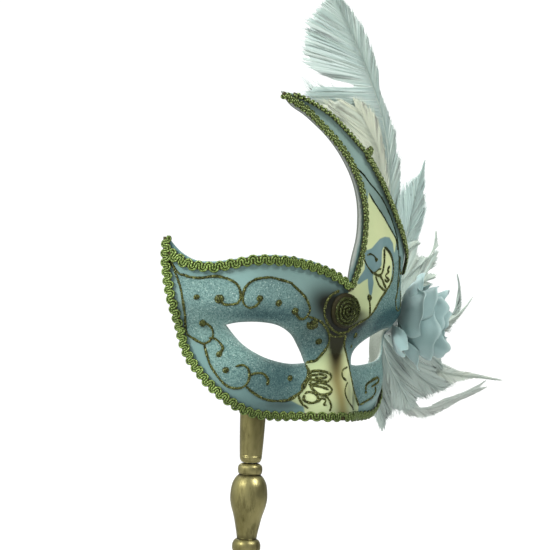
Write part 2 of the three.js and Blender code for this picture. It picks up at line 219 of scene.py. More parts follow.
def surface(u, z):
    a = np.abs(u)
    angle, x, y = (np.interp(a, WRAP_U, v) for v in (WRAP_ANGLE, WRAP_X, WRAP_Y))
    r = relief(u, z)
    above = np.maximum(0, z - 60)
    lean = 0.13 * (np.minimum(z, 60) + above - above**2 / 200)
    return np.stack([np.sign(u) * (x + np.sin(angle) * r), y - np.cos(angle) * r - lean, z], -1)


def face_normal(u, z, reach=0.3):
    return unit(np.cross(surface(u + reach, z) - surface(u - reach, z),
                         surface(u, z + reach) - surface(u, z - reach)))


def on_face(u, z, w=0.0):
    u, z, w = np.broadcast_arrays(*(np.asarray(v, float) for v in (u, z, w)))
    return surface(u, z) + face_normal(u, z) * w[..., None]


# ---- materials -----------------------------------------------------------------------
def tone(r, g, b):
    """A colour from 0 to 255 as Blender's linear values."""
    return tuple(v / 12.92 if v <= 0.04045 else ((v + 0.055) / 1.055) ** 2.4
                 for v in (r / 255, g / 255, b / 255)) + (1.0,)


class Nodes:
    """A node tree that is built up one call at a time."""

    def __init__(self, tree):
        self.tree = tree

    def node(self, kind, inputs=None, **settings):
        made = self.tree.nodes.new(kind)
        for key, value in settings.items():
            setattr(made, key, value)
        for key, value in (inputs or {}).items():
            if isinstance(value, bpy.types.NodeSocket):
                self.tree.links.new(value, made.inputs[key])
            else:
                made.inputs[key].default_value = value
        return made

    def scaled(self, value, low, high, to_low=0.0, to_high=1.0):
        return self.node("ShaderNodeMapRange", {"Value": value, "From Min": low, "From Max": high,
                                                "To Min": to_low, "To Max": to_high}).outputs[0]


class Look(Nodes):
    """A node material round one Principled shader."""

    def __init__(self, name, roughness=0.5, metallic=0.0, **sockets):
        self.material = bpy.data.materials.new(name)
        self.material.use_nodes = True
        super().__init__(self.material.node_tree)
        self.shader = self.tree.nodes["Principled BSDF"]
        self.shader.inputs["Roughness"].default_value = roughness
        self.shader.inputs["Metallic"].default_value = metallic
        for key, value in sockets.items():
            self.shader.inputs[key.replace("_", " ")].default_value = value
        self.place = self.node("ShaderNodeTexCoord").outputs["Object"]

    def set(self, socket, value):
        self.tree.links.new(value, self.shader.inputs[socket])

    def value(self, name):
        return self.node("ShaderNodeAttribute", attribute_name=name).outputs["Fac"]

    def maths(self, operation, a, b=0.0, c=0.0, clamp=False):
        return self.node("ShaderNodeMath", {0: a, 1: b, 2: c},
                         operation=operation, use_clamp=clamp).outputs[0]

    def mix(self, factor, a, b, blend="MIX"):
        """Mixes two colours, each a socket or red, green and blue from 0 to 255."""
        a, b = (tone(*v) if isinstance(v, tuple) else v for v in (a, b))
        return self.node("ShaderNodeMix", {0: factor, 6: a, 7: b},
                         data_type="RGBA", blend_type=blend).outputs[2]

    def noise(self, size, detail=3.0, rough=0.5, stretch=None):
        """Noise whose features are about size mm across."""
        place = self.place
        if stretch:
            place = self.node("ShaderNodeMapping", {"Vector": place, "Scale": stretch}).outputs[0]
        inputs = {"Vector": place, "Scale": 500 / size, "Detail": detail, "Roughness": rough}
        return self.node("ShaderNodeTexNoise", inputs).outputs["Fac"]

    def flakes(self, size):
        """Three random values for each flake of about size mm."""
        cells = self.node("ShaderNodeTexVoronoi", {"Vector": self.place, "Scale": 1000 / size})
        return self.node("ShaderNodeSeparateColor", {"Color": cells.outputs["Color"]}).outputs

    def bump(self, height, distance, strength=1.0):
        self.set("Normal", self.node("ShaderNodeBump", {"Height": height, "Strength": strength,
                                                        "Distance": distance * MM}).outputs[0])


def paint_look():
    look = Look("painted_face", roughness=0.42, Specular_IOR_Level=0.2)
    cloud = look.noise(24, 4)
    grain = look.noise(1.1, 2)
    satin = look.mix(look.scaled(cloud, 0.35, 0.68), (118, 152, 148), (142, 172, 166))
    pale = look.mix(look.scaled(cloud, 0.35, 0.6), (128, 152, 142), (152, 180, 172))
    satin = look.mix(look.value("upper"), satin, pale)
    # Fine flakes set in blue paint; the brightest flakes are painted glints and the darkest are
    # darker in colour.
    flakes = look.flakes(0.55)
    glitter = look.mix(look.scaled(flakes[0], 0.1, 0.9), (90, 124, 120), (134, 166, 158))
    glitter = look.mix(look.scaled(cloud, 0.4, 0.7, 0.0, 0.3), glitter, (98, 124, 130))
    for flake, low, high, share, shade in ((flakes[1], 0.955, 0.965, 0.45, (200, 222, 212)),
                                           (flakes[2], 0.93, 0.94, 0.4, (40, 66, 72))):
        shown = look.maths("MULTIPLY", look.scaled(flake, low, high), share)
        glitter = look.mix(shown, glitter, shade)
    wander = look.maths("MULTIPLY_ADD", grain, 0.7, -0.35)
    in_glitter = look.scaled(look.maths("ADD", look.value("glitter"), wander), -0.15, 0.25)
    colour = look.mix(in_glitter, satin, glitter)
    cream = look.mix(look.scaled(look.noise(12), 0.35, 0.65), (228, 236, 178), (216, 228, 172))
    in_cream = look.scaled(look.value("cream"), -0.3, 0.5)
    colour = look.mix(in_cream, colour, cream)
    swoosh = look.mix(look.scaled(look.noise(6), 0.3, 0.7), (116, 150, 150), (134, 164, 164))
    colour = look.mix(look.scaled(look.value("swoosh"), -0.3, 0.3), colour, swoosh)
    colour = look.mix(look.value("gold"), colour, (158, 146, 92))
    colour = look.mix(look.value("brown"), colour, (26, 22, 10))
    shade = look.mix(1.0, colour, (120, 150, 160), "MULTIPLY")
    colour = look.mix(look.value("shade"), colour, shade)
    # A paler strip along the crest's edge, and a faint painted highlight along the eyes' lips.
    colour = look.mix(look.value("edge"), colour, (182, 188, 180))
    # Painted shade: the shell's inside and the back of its rim are white plastic, painted grey for
    # the shade they sit in.
    inner = look.mix(look.scaled(look.noise(9), 0.3, 0.7), (140, 148, 136), (120, 128, 116))
    colour = look.mix(look.value("inside"), colour, inner)
    # Painted shade: a darker line along the crest's edge, where the rim turns into shade.
    colour = look.mix(look.value("rim_shade"), colour, (104, 108, 102))
    look.set("Base Color", colour)
    rough = look.scaled(flakes[1], 0, 1, 0.34, 0.58)
    look.set("Roughness", look.node("ShaderNodeMix", {0: in_glitter, 2: 0.36, 3: rough}).outputs[0])
    flake_rise = look.maths("MULTIPLY", flakes[0], in_glitter)
    look.bump(look.maths("MULTIPLY_ADD", grain, 0.25, flake_rise), 0.09, 0.8)
    return look.material


def thread_look():
    look = Look("metal_thread", roughness=0.36, metallic=0.5)
    # Painted glint and painted shade along each cord's twist, as strong as grain says.
    twist = look.maths("SINE", look.maths("MULTIPLY", look.value("run"), 5.0))
    ridge = look.mix(look.scaled(look.noise(1.3, 4, 0.7), 0.3, 0.7), (88, 112, 46),
                     (142, 168, 84))
    glint = look.maths("MULTIPLY", look.scaled(twist, 0.2, 1, 0.0, 0.55), look.value("grain"))
    ridge = look.mix(glint, ridge, (206, 216, 150))
    dark = look.maths("MULTIPLY", look.scaled(twist, -1, 0.2, 0.85, 0.0), look.value("grain"))
    ridge = look.mix(dark, ridge, (34, 40, 14))
    # Painted shade on the undersides of the cords, lighter on their lit tops.
    base = look.mix(look.scaled(look.value("ridge"), 0.0, 0.85), (32, 40, 12), ridge)
    # Painted shade where the loops dip towards the shell and on the lowest braid.
    look.set("Base Color", look.mix(look.value("tip"), base, (30, 34, 12)))
    look.bump(twist, 0.08)
    return look.material


def plain_look(name, colour, low, high, bump, depth, **sockets):
    """Two colours mixed by noise, and a bump; both noises are size, detail and roughness."""
    look = Look(name, **sockets)
    look.set("Base Color", look.mix(look.noise(*colour), low, high))
    look.bump(look.noise(*bump), depth)
    return look.material


def glitter_glue_look():
    look = Look("glitter_glue", roughness=0.45, metallic=0.25, Specular_IOR_Level=0.25)
    flakes = look.flakes(0.5)
    base = look.mix(look.scaled(flakes[0], 0.2, 0.9), (36, 40, 14), (100, 106, 52))
    # The brightest flakes are painted glints.
    base = look.mix(look.scaled(flakes[1], 0.93, 0.95), base, (160, 166, 108))
    base = look.mix(look.value("green"), base, look.mix(1.0, base, (120, 150, 130), "MULTIPLY"))
    look.set("Base Color", base)
    look.bump(flakes[2], 0.2)
    return look.material


def leafed(look, colour, share):
    """Lets some light through a thin cloth or a feather."""
    glow = look.node("ShaderNodeBsdfTranslucent", {"Color": colour})
    mixed = look.node("ShaderNodeMixShader",
                      {0: share, 1: look.shader.outputs[0], 2: glow.outputs[0]})
    output = look.tree.nodes["Material Output"]
    look.tree.links.new(mixed.outputs[0], output.inputs["Surface"])


def petal_look():
    look = Look("petal_cloth", roughness=0.85, Sheen_Weight=0.5, Sheen_Roughness=0.5,
                Specular_IOR_Level=0.1)
    base = look.mix(look.scaled(look.noise(16, 3), 0.35, 0.65), (176, 206, 204),
                    (192, 218, 216))
    # Painted shade deep in the flower, at the petals' feet.
    base = look.mix(look.value("deep"), base, (142, 170, 166))
    base = look.mix(look.value("rim"), base, (206, 228, 224))
    look.set("Base Color", base)
    weave = look.noise(0.35, 2, 0.5)
    folds = look.noise(6, 3, 0.5)
    look.bump(look.maths("MULTIPLY_ADD", folds, 5.0, weave), 0.1, 0.8)
    leafed(look, base, share=0.15)
    return look.material


def feather_look():
    look = Look("feather", roughness=0.7, Sheen_Weight=0.3, Sheen_Roughness=0.5,
                Specular_IOR_Level=0.2, Alpha=0.5)
    cream, teal, grey = (252, 255, 230), (218, 240, 234), (242, 248, 243)
    base = look.mix(look.value("teal"), cream, teal)
    base = look.mix(look.value("grey"), base, grey)
    base = look.mix(look.value("dark"), base, (150, 178, 174))
    base = look.mix(look.scaled(look.noise(5, 3), 0.4, 0.7, 0.0, 0.15), base, (180, 202, 196))
    look.set("Base Color", base)
    look.bump(look.noise(0.5, 2), 0.06, 0.4)
    leafed(look, base, share=0.05)
    return look.material


def gilt_look():
    look = Look("antique_gilt", roughness=0.32, metallic=0.95)
    wash = look.noise(9, 5, 0.6, stretch=(1, 1, 0.35))
    base = look.mix(look.scaled(wash, 0.35, 0.65), (160, 152, 104), (98, 92, 52))
    streak = look.noise(2.2, 5, 0.7, stretch=(1, 1, 0.2))
    base = look.mix(look.scaled(streak, 0.52, 0.75, 0.0, 0.8), base, (58, 54, 28))
    base = look.mix(look.value("groove"), base, (36, 32, 14))
    look.set("Base Color", base)
    look.set("Roughness", look.scaled(streak, 0.3, 0.7, 0.28, 0.55))
    look.bump(streak, 0.2, 0.6)
    return look.material


def wood_look():
    look = Look("bare_wood", roughness=0.65)
    rings = look.node("ShaderNodeTexWave", {"Vector": look.place, "Scale": 260.0, "Distortion": 6.0,
                                            "Detail": 3.0}, bands_direction="X")
    base = look.mix(rings.outputs["Fac"], (196, 166, 118), (164, 130, 84))
    base = look.mix(look.scaled(look.noise(1.0, 4, stretch=(1, 1, 0.1)), 0.5, 0.8), base,
                    (128, 98, 60))
    look.set("Base Color", base)
    look.bump(look.noise(0.8, 3, stretch=(1, 1, 0.1)), 0.15)
    return look.material


# ---- the painted shell ---------------------------------------------------------------
NOTCH, LEFT_TIP, CREST_TIP = (2.5, 44.5), (-102.3, 62.5), (-53.5, 139.8)
BROW_EDGE = [NOTCH, (-5, 48), (-14, 51), (-27, 54), (-41, 55.3), (-54, 55), (-66, 52.5),
             (-77, 50.5), (-86, 50.6), (-93, 53.6), (-98.5, 58), LEFT_TIP]
HALF_EDGE = [(12, -28.8), (33, -29), (49, -27.4), (63.8, -20.3), (77, -8.8), (87.5, 5.5)]
SIDE_EDGE = [LEFT_TIP, (-103, 57), (-102, 49), (-99, 39), (-94.5, 26),
             *[(-u, z) for u, z in HALF_EDGE[::-1]], (0, -28.8), *HALF_EDGE, (92, 16), (94, 26),
             (89, 38), (79, 48), (66, 58.5), (53.4, 69.2), (44.2, 79.8), (37.2, 87), (26.8, 95.4),
             (16, 104.2), (5.4, 112.6), (-8.6, 121), (-17.2, 126.6), (-26.8, 132.8),
             (-38.2, 137.4), CREST_TIP]
CREST_EDGE = [CREST_TIP, (-48, 133.5), (-38, 128.5), (-26, 120.5), (-15, 111), (-5, 99.5),
              (1, 89), (4, 79), (5, 68), (3.5, 57), NOTCH]
EYE_UPPER = [(18, 0), (20.5, 5.7), (25.5, 11.2), (32, 16), (41, 19.9), (51, 21.1), (61, 20.4),
             (68, 18.5)]
EDGE_STEP, GRID_STEP, EDGE_CLEAR, RIM_ROUND = 0.9, 1.05, 0.55, 0.35
EYE_LOWER = [(68, 18.5), (58, 8.8), (48, 3.2), (38, 0.4), (27, -0.8), (18, 0)]

# Glitter glue lines on the face, as u, z points.
LINES = {
    "brow_left": [(-100, 51), (-94, 44), (-91, 43), (-87, 42), (-82, 42), (-77, 43), (-73, 43),
        (-69, 42), (-65, 40), (-63, 37), (-62, 33), (-63, 30), (-66, 29), (-69, 29), (-72, 31)],
    "brow_right": [(-53, 33), (-53, 31), (-55, 28.5), (-58, 28), (-60.5, 30.5), (-61, 35),
        (-60, 39), (-57, 42), (-53, 43.5), (-48, 44), (-42, 43), (-37, 42), (-34, 40), (-30, 37),
        (-27, 34), (-24.5, 29), (-25, 26), (-27, 23.5), (-30, 24), (-33, 27.5)],
    "side": [(-99.5, 52), (-98, 49), (-95, 43), (-92, 37), (-90, 31), (-88.5, 24), (-88, 18),
        (-87, 13), (-84, 11), (-80, 9), (-77, 8), (-74, 10), (-73, 13), (-74, 16), (-76, 18),
        (-79, 19)],
    "cheek": [(-77, 8), (-75, 3), (-72, -3), (-68, -8), (-64, -12), (-60, -14), (-56, -14),
        (-53, -12), (-52, -8), (-53, -4), (-56, -2), (-59.5, -3)],
    "cheek_curl": [(-75, 11), (-72, 11), (-69, 9), (-67, 6), (-68.5, 2.8)],
    "chin": [(-53, -13), (-49, -16), (-43, -19), (-38, -20), (-32, -20), (-26, -19), (-21, -15)],
    "chin_curl": [(-52, -7), (-49, -6), (-45, -6), (-42, -9), (-42, -12)],
    "nose_left": [(-25, 25), (-21, 24), (-15, 22), (-10, 18), (-8, 14.5), (-8, 10), (-10, 6),
        (-13, 2), (-16, 1), (-18, 0), (-17, -3), (-16, -6), (-18, -10), (-20, -14), (-24, -17),
        (-28, -19)],
    "nose_ball": [(-24, 22), (-22.5, 19.2), (-20, 18.6), (-17.8, 20), (-18.5, 22.5)],
    "nose_right": [(3, 16), (3, 11), (6.5, 5), (11, -1), (15, -7.5), (21, -15), (29, -22.5)],
    "scribble_1": [(-17, -6), (-15, -4), (-11, -3.6), (-7, -4.6), (-5.8, -6.6), (-8, -9),
        (-12, -8.6), (-16, -8), (-16.5, -6.5), (-12, -5.4), (-8.6, -6), (-9.5, -7.2), (-14, -7.2)],
    "scribble_2": [(-15.5, -8.5), (-16.5, -11), (-12, -9.8), (-8, -10.8), (-5.6, -13), (-7, -15.2),
        (-11, -16.2), (-14.5, -14), (-16, -11.5), (-11, -12), (-7.5, -13.2)],
    "scribble_3": [(-19, -16), (-17, -14.8), (-14, -15.8), (-12.6, -18), (-14, -20.2), (-17, -20.4),
        (-19.3, -18.8), (-19, -16.5)],
    "scribble_4": [(-12.5, -15.5), (-9, -16.8), (-7, -19), (-6, -22), (-7, -24.5)],
    "scribble_5": [(-13, -20.2), (-11, -18), (-9, -19), (-10, -21.2), (-8.5, -21.4)],
    "scribble_6": [(-17, -3), (-17.5, -7), (-20, -11), (-20.5, -14), (-22, -17), (-20, -21),
        (-17, -23.5)],
    "cheek_right": [(34, -14), (33.5, -11.5), (38, -9), (45, -7), (46.5, -9), (42, -11), (39, -12)],
    "cheek_right_2": [(43, -12), (44.5, -15), (42, -18), (36, -20), (30, -22)],
    "nose_loop": [(7.5, -1), (2.6, -2.6), (2, -6), (5.5, -8.4)],
    "nose_loop_low": [(6.5, -9), (4, -13), (5, -17), (9.5, -21), (21, -24.5)],
    "brow_line": [(4, 19), (9, 21), (15, 23.5), (21, 26.5), (28, 32.5), (34, 37), (39, 41),
        (43, 45), (45, 50), (44, 56), (41, 60.5), (37, 63.5), (33, 65)],
    "branch": [(7, 46), (9, 43)],
    "loop": [(54, 50), (53, 46), (51, 41), (48.5, 37), (48.5, 33), (50.5, 30.5), (54, 32.5),
        (57, 37), (58, 42)],
    "loop_top": [(62, 52), (58, 53), (54.5, 51), (52, 55), (50, 61)],
    "stem": [(33, 64), (34, 61), (35, 57.5), (35, 54), (34.5, 51), (32, 49.3), (28, 49.5),
        (24, 50.5)],
    "leaf_1": [(27, 49), (29, 46.5), (32, 44), (36, 42), (39.5, 41)],
    "leaf_2": [(32, 49.5), (35, 47.5), (37, 45), (39.5, 42.5)],
    "leaf_3": [(41, 55), (39.7, 53), (40.5, 51.5), (38, 49.5), (41.5, 47.5), (39.5, 46.3),
        (37.5, 47.5)],
    "hook": [(15.5, 59.5), (19, 60.3), (23, 59.2), (25.3, 57.3)],
    "hook_2": [(13, 57.5), (16, 54.5), (20, 52), (24.5, 50.3), (30, 52.5), (33, 53)],
    "blob_tail": [(20.3, 36.5), (20.6, 32), (21, 27)],
    "crease_long": [(-3, 105), (3.5, 101.7), (9, 98), (15.5, 94.6), (22, 91), (29, 86.5), (35, 82),
        (39.5, 77), (44, 71), (46.5, 66), (49, 60), (51, 54), (51.5, 47), (51, 41), (48.5, 36.5)],
    "crease_short": [(9.8, 92.5), (14, 89), (22, 84), (31, 79), (37, 75), (41, 72), (44, 69),
        (46, 64)],
    "halo": [(-5, 39.5), (-10.5, 37), (-14.5, 32.5), (-15, 27), (-12, 22.5), (-8, 19), (-3, 17),
        (3, 17.6), (10, 21), (15, 24)],
    "under_medallion": [(-9.5, 16.5), (-6, 15.2), (-2, 15), (2, 16)],
}
LINE_WIDTH = 1.35
OTHER_WIDTHS = {"crease_long": 0.75, "crease_short": 0.75, "nose_loop": 1.0, "nose_loop_low": 0.9,
                "loop": 0.8, "loop_top": 0.8, "hook": 1.0, "hook_2": 1.0, "branch": 1.0,
                "cheek_right": 1.5, "scribble_5": 1.1}
CURLED_ENDS = {"brow_left", "brow_right", "side", "cheek_curl", "chin_curl"}
# Round drops of the glue: u, z and radius.
BLOBS = [(-83, 32, 1.5), (-43, 31, 1.8), (-64, -5, 1.7), (-28, -8, 1.7), (-13, 12, 1.7),
         (-53, 33, 1.7), (-72, 31.6, 2.4), (-79, 18.6, 1.9), (-33, 27.3, 1.9), (-68.5, 3, 1.6),
         (-20.6, 20.6, 2.6), (20.3, 36.8, 1.9), (14, 16, 1.6), (14.5, 10, 1.0), (25.4, 57.6, 1.2),
         (34, -15, 1.0)]

# The painted zones, as closed outlines of u, z points.
LEFT_GLITTER = (LINES["brow_left"][:11] + LINES["brow_right"][5:17] + LINES["nose_left"][:15]
                + [(-28, -19)] + LINES["chin"][3::-1] + LINES["cheek"][5::-1]
                + LINES["side"][10::-1])
RIGHT_GLITTER = (LINES["nose_right"] + [(33, -22.5), (41, -20.5), (47, -18), (52, -14), (70, -6),
                                        (95, 10), (95, 40), (60, 56), (52, 62)]
                 + LINES["brow_line"][9::-1])
NOSE_CREAM = (LINES["nose_left"][4:] + [(-19, -23), (-18, -32), (30, -32)]
              + LINES["nose_right"][::-1] + [(-2, 16)])
CREST_CREAM = ([(1.5, 38), (3, 42), (5, 44), (9, 60), (10, 75), (9, 93)] + LINES["crease_short"][:7]
               + [(44, 63)] + LINES["brow_line"][10:2:-1] + [(15, 24), (4, 20)])
SWOOSH = [(13, 62), (16, 62.5), (19, 63.5), (22, 66), (26, 69), (32, 70.5), (37, 70.5), (41, 67.5),
          (43.5, 62), (45, 56), (46, 51), (44.5, 47), (43, 45), (44, 50), (43.5, 55), (41, 60.5),
          (37, 64), (33, 65.5), (31, 63), (32, 58.5), (33, 55), (30.5, 52.5), (25, 50.5), (24, 48),
          (25.5, 45), (24, 40), (21.5, 36), (20, 41), (19, 47), (15, 45.5), (11, 43.5), (9, 44),
          (10.5, 47), (13, 49.5), (15, 52), (14, 56), (12.5, 59.5)]


GOLD_LINE = [(-2, 4), (-2, -8), (1, -18), (3, -30)]  # down the bridge of the nose


def path_distance(u, z, line, closed=False):
    best = np.full(np.shape(u), 1e9)
    line = np.array(line, float)
    for a, b in zip(line, np.roll(line, -1, 0) if closed else line[1:]):
        d = b - a
        t = np.clip(((u - a[0]) * d[0] + (z - a[1]) * d[1]) / max(d @ d, 1e-9), 0, 1)
        best = np.minimum(best, np.hypot(u - a[0] - t * d[0], z - a[1] - t * d[1]))
    return best


def is_inside(u, z, loop):
    loop = np.array(loop, float)
    crossed = np.zeros(np.shape(u), bool)
    for a, b in zip(loop, np.roll(loop, -1, 0)):
        if a[1] != b[1]:
            at = a[0] + (z - a[1]) * (b[0] - a[0]) / (b[1] - a[1])
            crossed ^= ((a[1] > z) != (b[1] > z)) & (u < at)
    return crossed


def depth_in(u, z, loop):
    """How far inside an outline each point is, in mm; negative outside."""
    return np.where(is_inside(u, z, loop), 1, -1) * path_distance(u, z, loop, True)


BROWN_SPOTS = [  # strength, centre u and z, both radii, tilt in degrees
    (1.3, -2, 28, 17, 13, 0), (1.6, -2.5, 14, 5.2, 9, 0), (0.6, -3, 1, 4.2, 9, 0),
    (0.3, 12, 30, 7, 5, 0), (0.5, 15, 22, 9, 3, 25), (0.5, -19, 34, 11, 9, 0),
    (0.7, 19, -19, 4, 6, 0), (0.55, -31, -22.5, 13, 2.6, 0), (0.5, 9, -15, 4, 9, 0)]
SHADE_SPOTS = [
    (0.85, -48, 24.5, 22, 4.6, 3), (0.6, -98, 60, 6, 6, 0), (0.8, 48, 27, 20, 6, 20),
    (0.45, -14, 8, 9, 12, 0), (0.45, -30, 6, 9, 16, 0), (1.0, 12, 15, 10, 9, 0),
    (0.9, 42, 25, 16, 7, 15), (0.45, -45, -22, 30, 8, 0), (0.6, -40, -8, 22, 9, 0),
    (0.5, 24, -20, 8, 14, 0), (0.35, 2, -24, 22, 8, 0), (0.4, 22, 42, 20, 14, 0),
    (0.4, 36, 90, 22, 16, -40)]


def soft_spots(u, z, rows):
    total = 0
    for strength, at_u, at_z, radius, other, tilt in rows:
        a, b = u - at_u, z - at_z
        c, s = math.cos(math.radians(tilt)), math.sin(math.radians(tilt))
        total = total + strength * np.exp(-((a * c + b * s) / radius) ** 2
                                          - ((b * c - a * s) / other) ** 2)
    return total


def closed_edge(runs):
    return np.vstack([curve(run, EDGE_STEP)[:-1] for run in runs])


def paint_values(u, z, eyes):
    gold = np.exp(-(path_distance(u, z, GOLD_LINE) / 4.8) ** 2) * 0.95
    brown = soft_spots(u, z, BROWN_SPOTS)
    brown = brown * (1 - 0.7 * is_inside(u, z, CREST_CREAM) * smooth((z - 27) / 5))
    shade = soft_spots(u, z, SHADE_SPOTS) + 0.9 * smooth((u - 50) / 18) * (z < 45)
    nearest = np.minimum(*(path_distance(u, z, e, True) for e in eyes))
    # lip: a faint painted highlight along the edges of the eyes.
    lip = np.exp(-(nearest / 1.3) ** 2)
    crest_rim = smooth((2.3 - path_distance(u, z, CREST_EDGE)) / 0.9) * smooth((z - 48) / 8)
    return {"glitter": np.maximum(depth_in(u, z, LEFT_GLITTER), depth_in(u, z, RIGHT_GLITTER)),
            "cream": np.maximum(depth_in(u, z, NOSE_CREAM), depth_in(u, z, CREST_CREAM)),
            "upper": smooth((z - 55) / 30), "swoosh": depth_in(u, z, SWOOSH),
            "gold": np.clip(gold * (z < 6), 0, 1),
            "brown": np.clip(brown, 0, 0.97), "shade": np.clip(shade, 0, 1),
            "edge": np.clip(0.95 * crest_rim + 0.18 * lip, 0, 1)}


def make_shell(look):
    """One sheet of triangles in front, one behind, and a rounded rim along every edge."""
    outer = closed_edge([BROW_EDGE, SIDE_EDGE, CREST_EDGE])
    eyes = [closed_edge([EYE_UPPER, EYE_LOWER]) * [side, 1] for side in (-1, 1)]
    u, z = np.meshgrid(np.arange(-105, 96, GRID_STEP), np.arange(-30, 141, GRID_STEP))
    z = z + (np.arange(u.shape[1]) % 2) * GRID_STEP / 2
    u, z = u.ravel(), z.ravel()
    keep = depth_in(u, z, outer) > EDGE_CLEAR
    for eye in eyes:
        keep &= depth_in(u, z, eye) < -EDGE_CLEAR
    loops = [outer, *eyes]
    points = np.vstack([*loops, np.stack([u[keep], z[keep]], 1)])
    edges, start = [], 0
    for loop in loops:
        edges += [(start + i, start + (i + 1) % len(loop)) for i in range(len(loop))]
        start += len(loop)
    flat, _, triangles, _, _, _ = delaunay_2d_cdt(points.tolist(), edges, [], 0, 1e-5)
    flat, triangles = np.array(flat), np.array(triangles)
    middle = flat[triangles].mean(1)
    kept = is_inside(*middle.T, outer)
    for eye in eyes:
        kept &= ~is_inside(*middle.T, eye)
    triangles = triangles[kept]
    a, b, c = (flat[triangles[:, k]] for k in range(3))
    backwards = (b - a)[:, 0] * (c - a)[:, 1] - (b - a)[:, 1] * (c - a)[:, 0] < 0
    triangles[backwards] = triangles[backwards][:, ::-1]
    used, triangles = np.unique(triangles, return_inverse=True)
    flat, triangles = flat[used], triangles.reshape(-1, 3)
    directed = np.vstack([triangles[:, [0, 1]], triangles[:, [1, 2]], triangles[:, [2, 0]]])
    known = {tuple(e) for e in directed.tolist()}
    rim = np.array([e for e in known if e[::-1] not in known])
    across = flat[rim[:, 1]] - flat[rim[:, 0]]
    away = np.zeros_like(flat)
    for end in (0, 1):
        np.add.at(away, rim[:, end], unit(np.stack([across[:, 1], -across[:, 0]], 1)))
    rim_points = np.unique(rim)
    away = unit(away[rim_points])
    u, z = flat.T
    lip = np.exp(-(np.minimum(*(path_distance(u, z, e, True) for e in eyes)) / 1.5) ** 2)
    rim_at = np.full(len(flat), -1)
    rim_at[rim_points] = np.arange(len(rim_points))
    round_u, round_z = (flat[rim_points] + away * RIM_ROUND).T
    lifted = lip[rim_points] * 0.5
    points = np.vstack([on_face(u, z, lip * 0.5), on_face(round_u, round_z, lifted - 0.45),
                        on_face(round_u, round_z, lifted - 1.15), on_face(u, z, -SHELL_THICKNESS)])
    n, m = len(flat), len(rim_points)
    faces = triangles.tolist() + (triangles[:, ::-1] + n + 2 * m).tolist()
    p, q = rim[:, 0], rim[:, 1]
    rows = [(p, q), (n + rim_at[p], n + rim_at[q]), (n + m + rim_at[p], n + m + rim_at[q]),
            (n + 2 * m + p, n + 2 * m + q)]
    for (p0, q0), (p1, q1) in zip(rows, rows[1:]):
        faces += np.stack([q0, p0, p1, q1], 1).tolist()
    values = paint_values(np.concatenate([u, round_u, round_u, u]),
                          np.concatenate([z, round_z, round_z, z]), eyes)
    # The inside and the back of the rim take the painted shade of paint_look.
    values["inside"] = np.concatenate([np.zeros(n + m), np.ones(m) * 0.8, np.ones(n)])
    # The darker crest rim is painted shade.
    crest = smooth((1.2 - path_distance(*flat[rim_points].T, CREST_EDGE)) / 0.6)
    values["rim_shade"] = np.concatenate([np.zeros(n), crest, crest, np.zeros(n)])
    piece("mask_shell", points, faces, look, ["mask_shell"], values=values)


# ---- glitter glue --------------------------------------------------------------------
LINE_STEP, BLOB_RINGS, BLOB_SIDES, DISC_SIDES = 0.42, 7, 12, 48
MEDALLION_Z, MEDALLION_STRETCH, SPIRAL_TURNS = 29, 1.16, 4.1  # it is wider than high


def make_glitter_lines(look, chance):
    """Raised beads of glue along the lines, and drops of it."""
    heap = Heap()
    for name, points in LINES.items():
        line = curve(points, LINE_STEP)
        width = OTHER_WIDTHS.get(name, LINE_WIDTH)
        n = len(line)
        ends = np.minimum(np.arange(n), np.arange(n)[::-1]) * LINE_STEP
        swell = smooth(0.35 + ends / 1.2) * (1 + 0.12 * np.convolve(
            chance.normal(size=n + 8), np.ones(9) / 3, "valid"))
        if name in CURLED_ENDS:
            swell = swell * (1 + 0.5 * np.exp(-(np.arange(n)[::-1] * LINE_STEP / 2.2) ** 2))
        path, up = on_face(*line.T, 0.12), face_normal(*line.T)
        width = width * swell[None]
        body, faces = strands(path[None], up[None], width, 0.62 * width, 8)
        body = body + chance.normal(size=body.shape) * 0.09
        green = smooth((line[:, 1] - 45) / 30)
        heap.add(body, faces, green=np.repeat(green, 8))
    angle = np.arange(BLOB_SIDES) * 2 * math.pi / BLOB_SIDES
    for u, z, radius in BLOBS:
        tilts = math.pi * (np.arange(BLOB_RINGS) + 0.5) / BLOB_RINGS
        points = np.vstack([on_face(u + radius * math.sin(tilt) * np.cos(angle),
                                    z + radius * math.sin(tilt) * np.sin(angle),
                                    0.1 + 0.62 * radius * math.cos(tilt)) for tilt in tilts])
        points = points + chance.normal(size=points.shape) * 0.1
        heap.add(points, ring_faces(BLOB_RINGS, BLOB_SIDES), green=0.2)
    heap.piece("glitter_lines", look, "glitter_cord")


def make_medallion(disc_look, glue_look, chance):
    """A domed oval disc with one spiral of glue on it."""
    rings = [(0, 1.35), (3, 1.5), (6.5, 1.35), (8.6, 1.15), (9.3, 0.7), (9.4, GAP)]
    angle = np.arange(DISC_SIDES) * 2 * math.pi / DISC_SIDES
    points = [on_face(MEDALLION_STRETCH * max(r, 0.02) * np.cos(angle),
                      MEDALLION_Z + max(r, 0.02) * np.sin(angle), w) for r, w in rings]
    points.append(on_face(10.6 * np.cos(angle), MEDALLION_Z + 9.2 * np.sin(angle), 0.05))
    piece("medallion_disc", np.vstack(points), ring_faces(len(points), DISC_SIDES), disc_look,
          ["medallion_disc"])
    t = np.linspace(0.02, 1, 330)
    radius = 0.4 + 7.9 * t
    angle = t * SPIRAL_TURNS * 2 * math.pi + 0.6
    u, z = MEDALLION_STRETCH * radius * np.cos(angle), MEDALLION_Z + radius * np.sin(angle)
    path = on_face(u, z, 2.1 - 0.09 * radius)
    body, faces = strands(path[None], face_normal(u, z)[None], 1.55, 1.35, 8)
    body = body + chance.normal(size=body.shape) * 0.11
    piece("medallion_spiral", body, faces, glue_look, ["medallion_spiral"],
          values={"green": np.full(len(body), 0.5)})


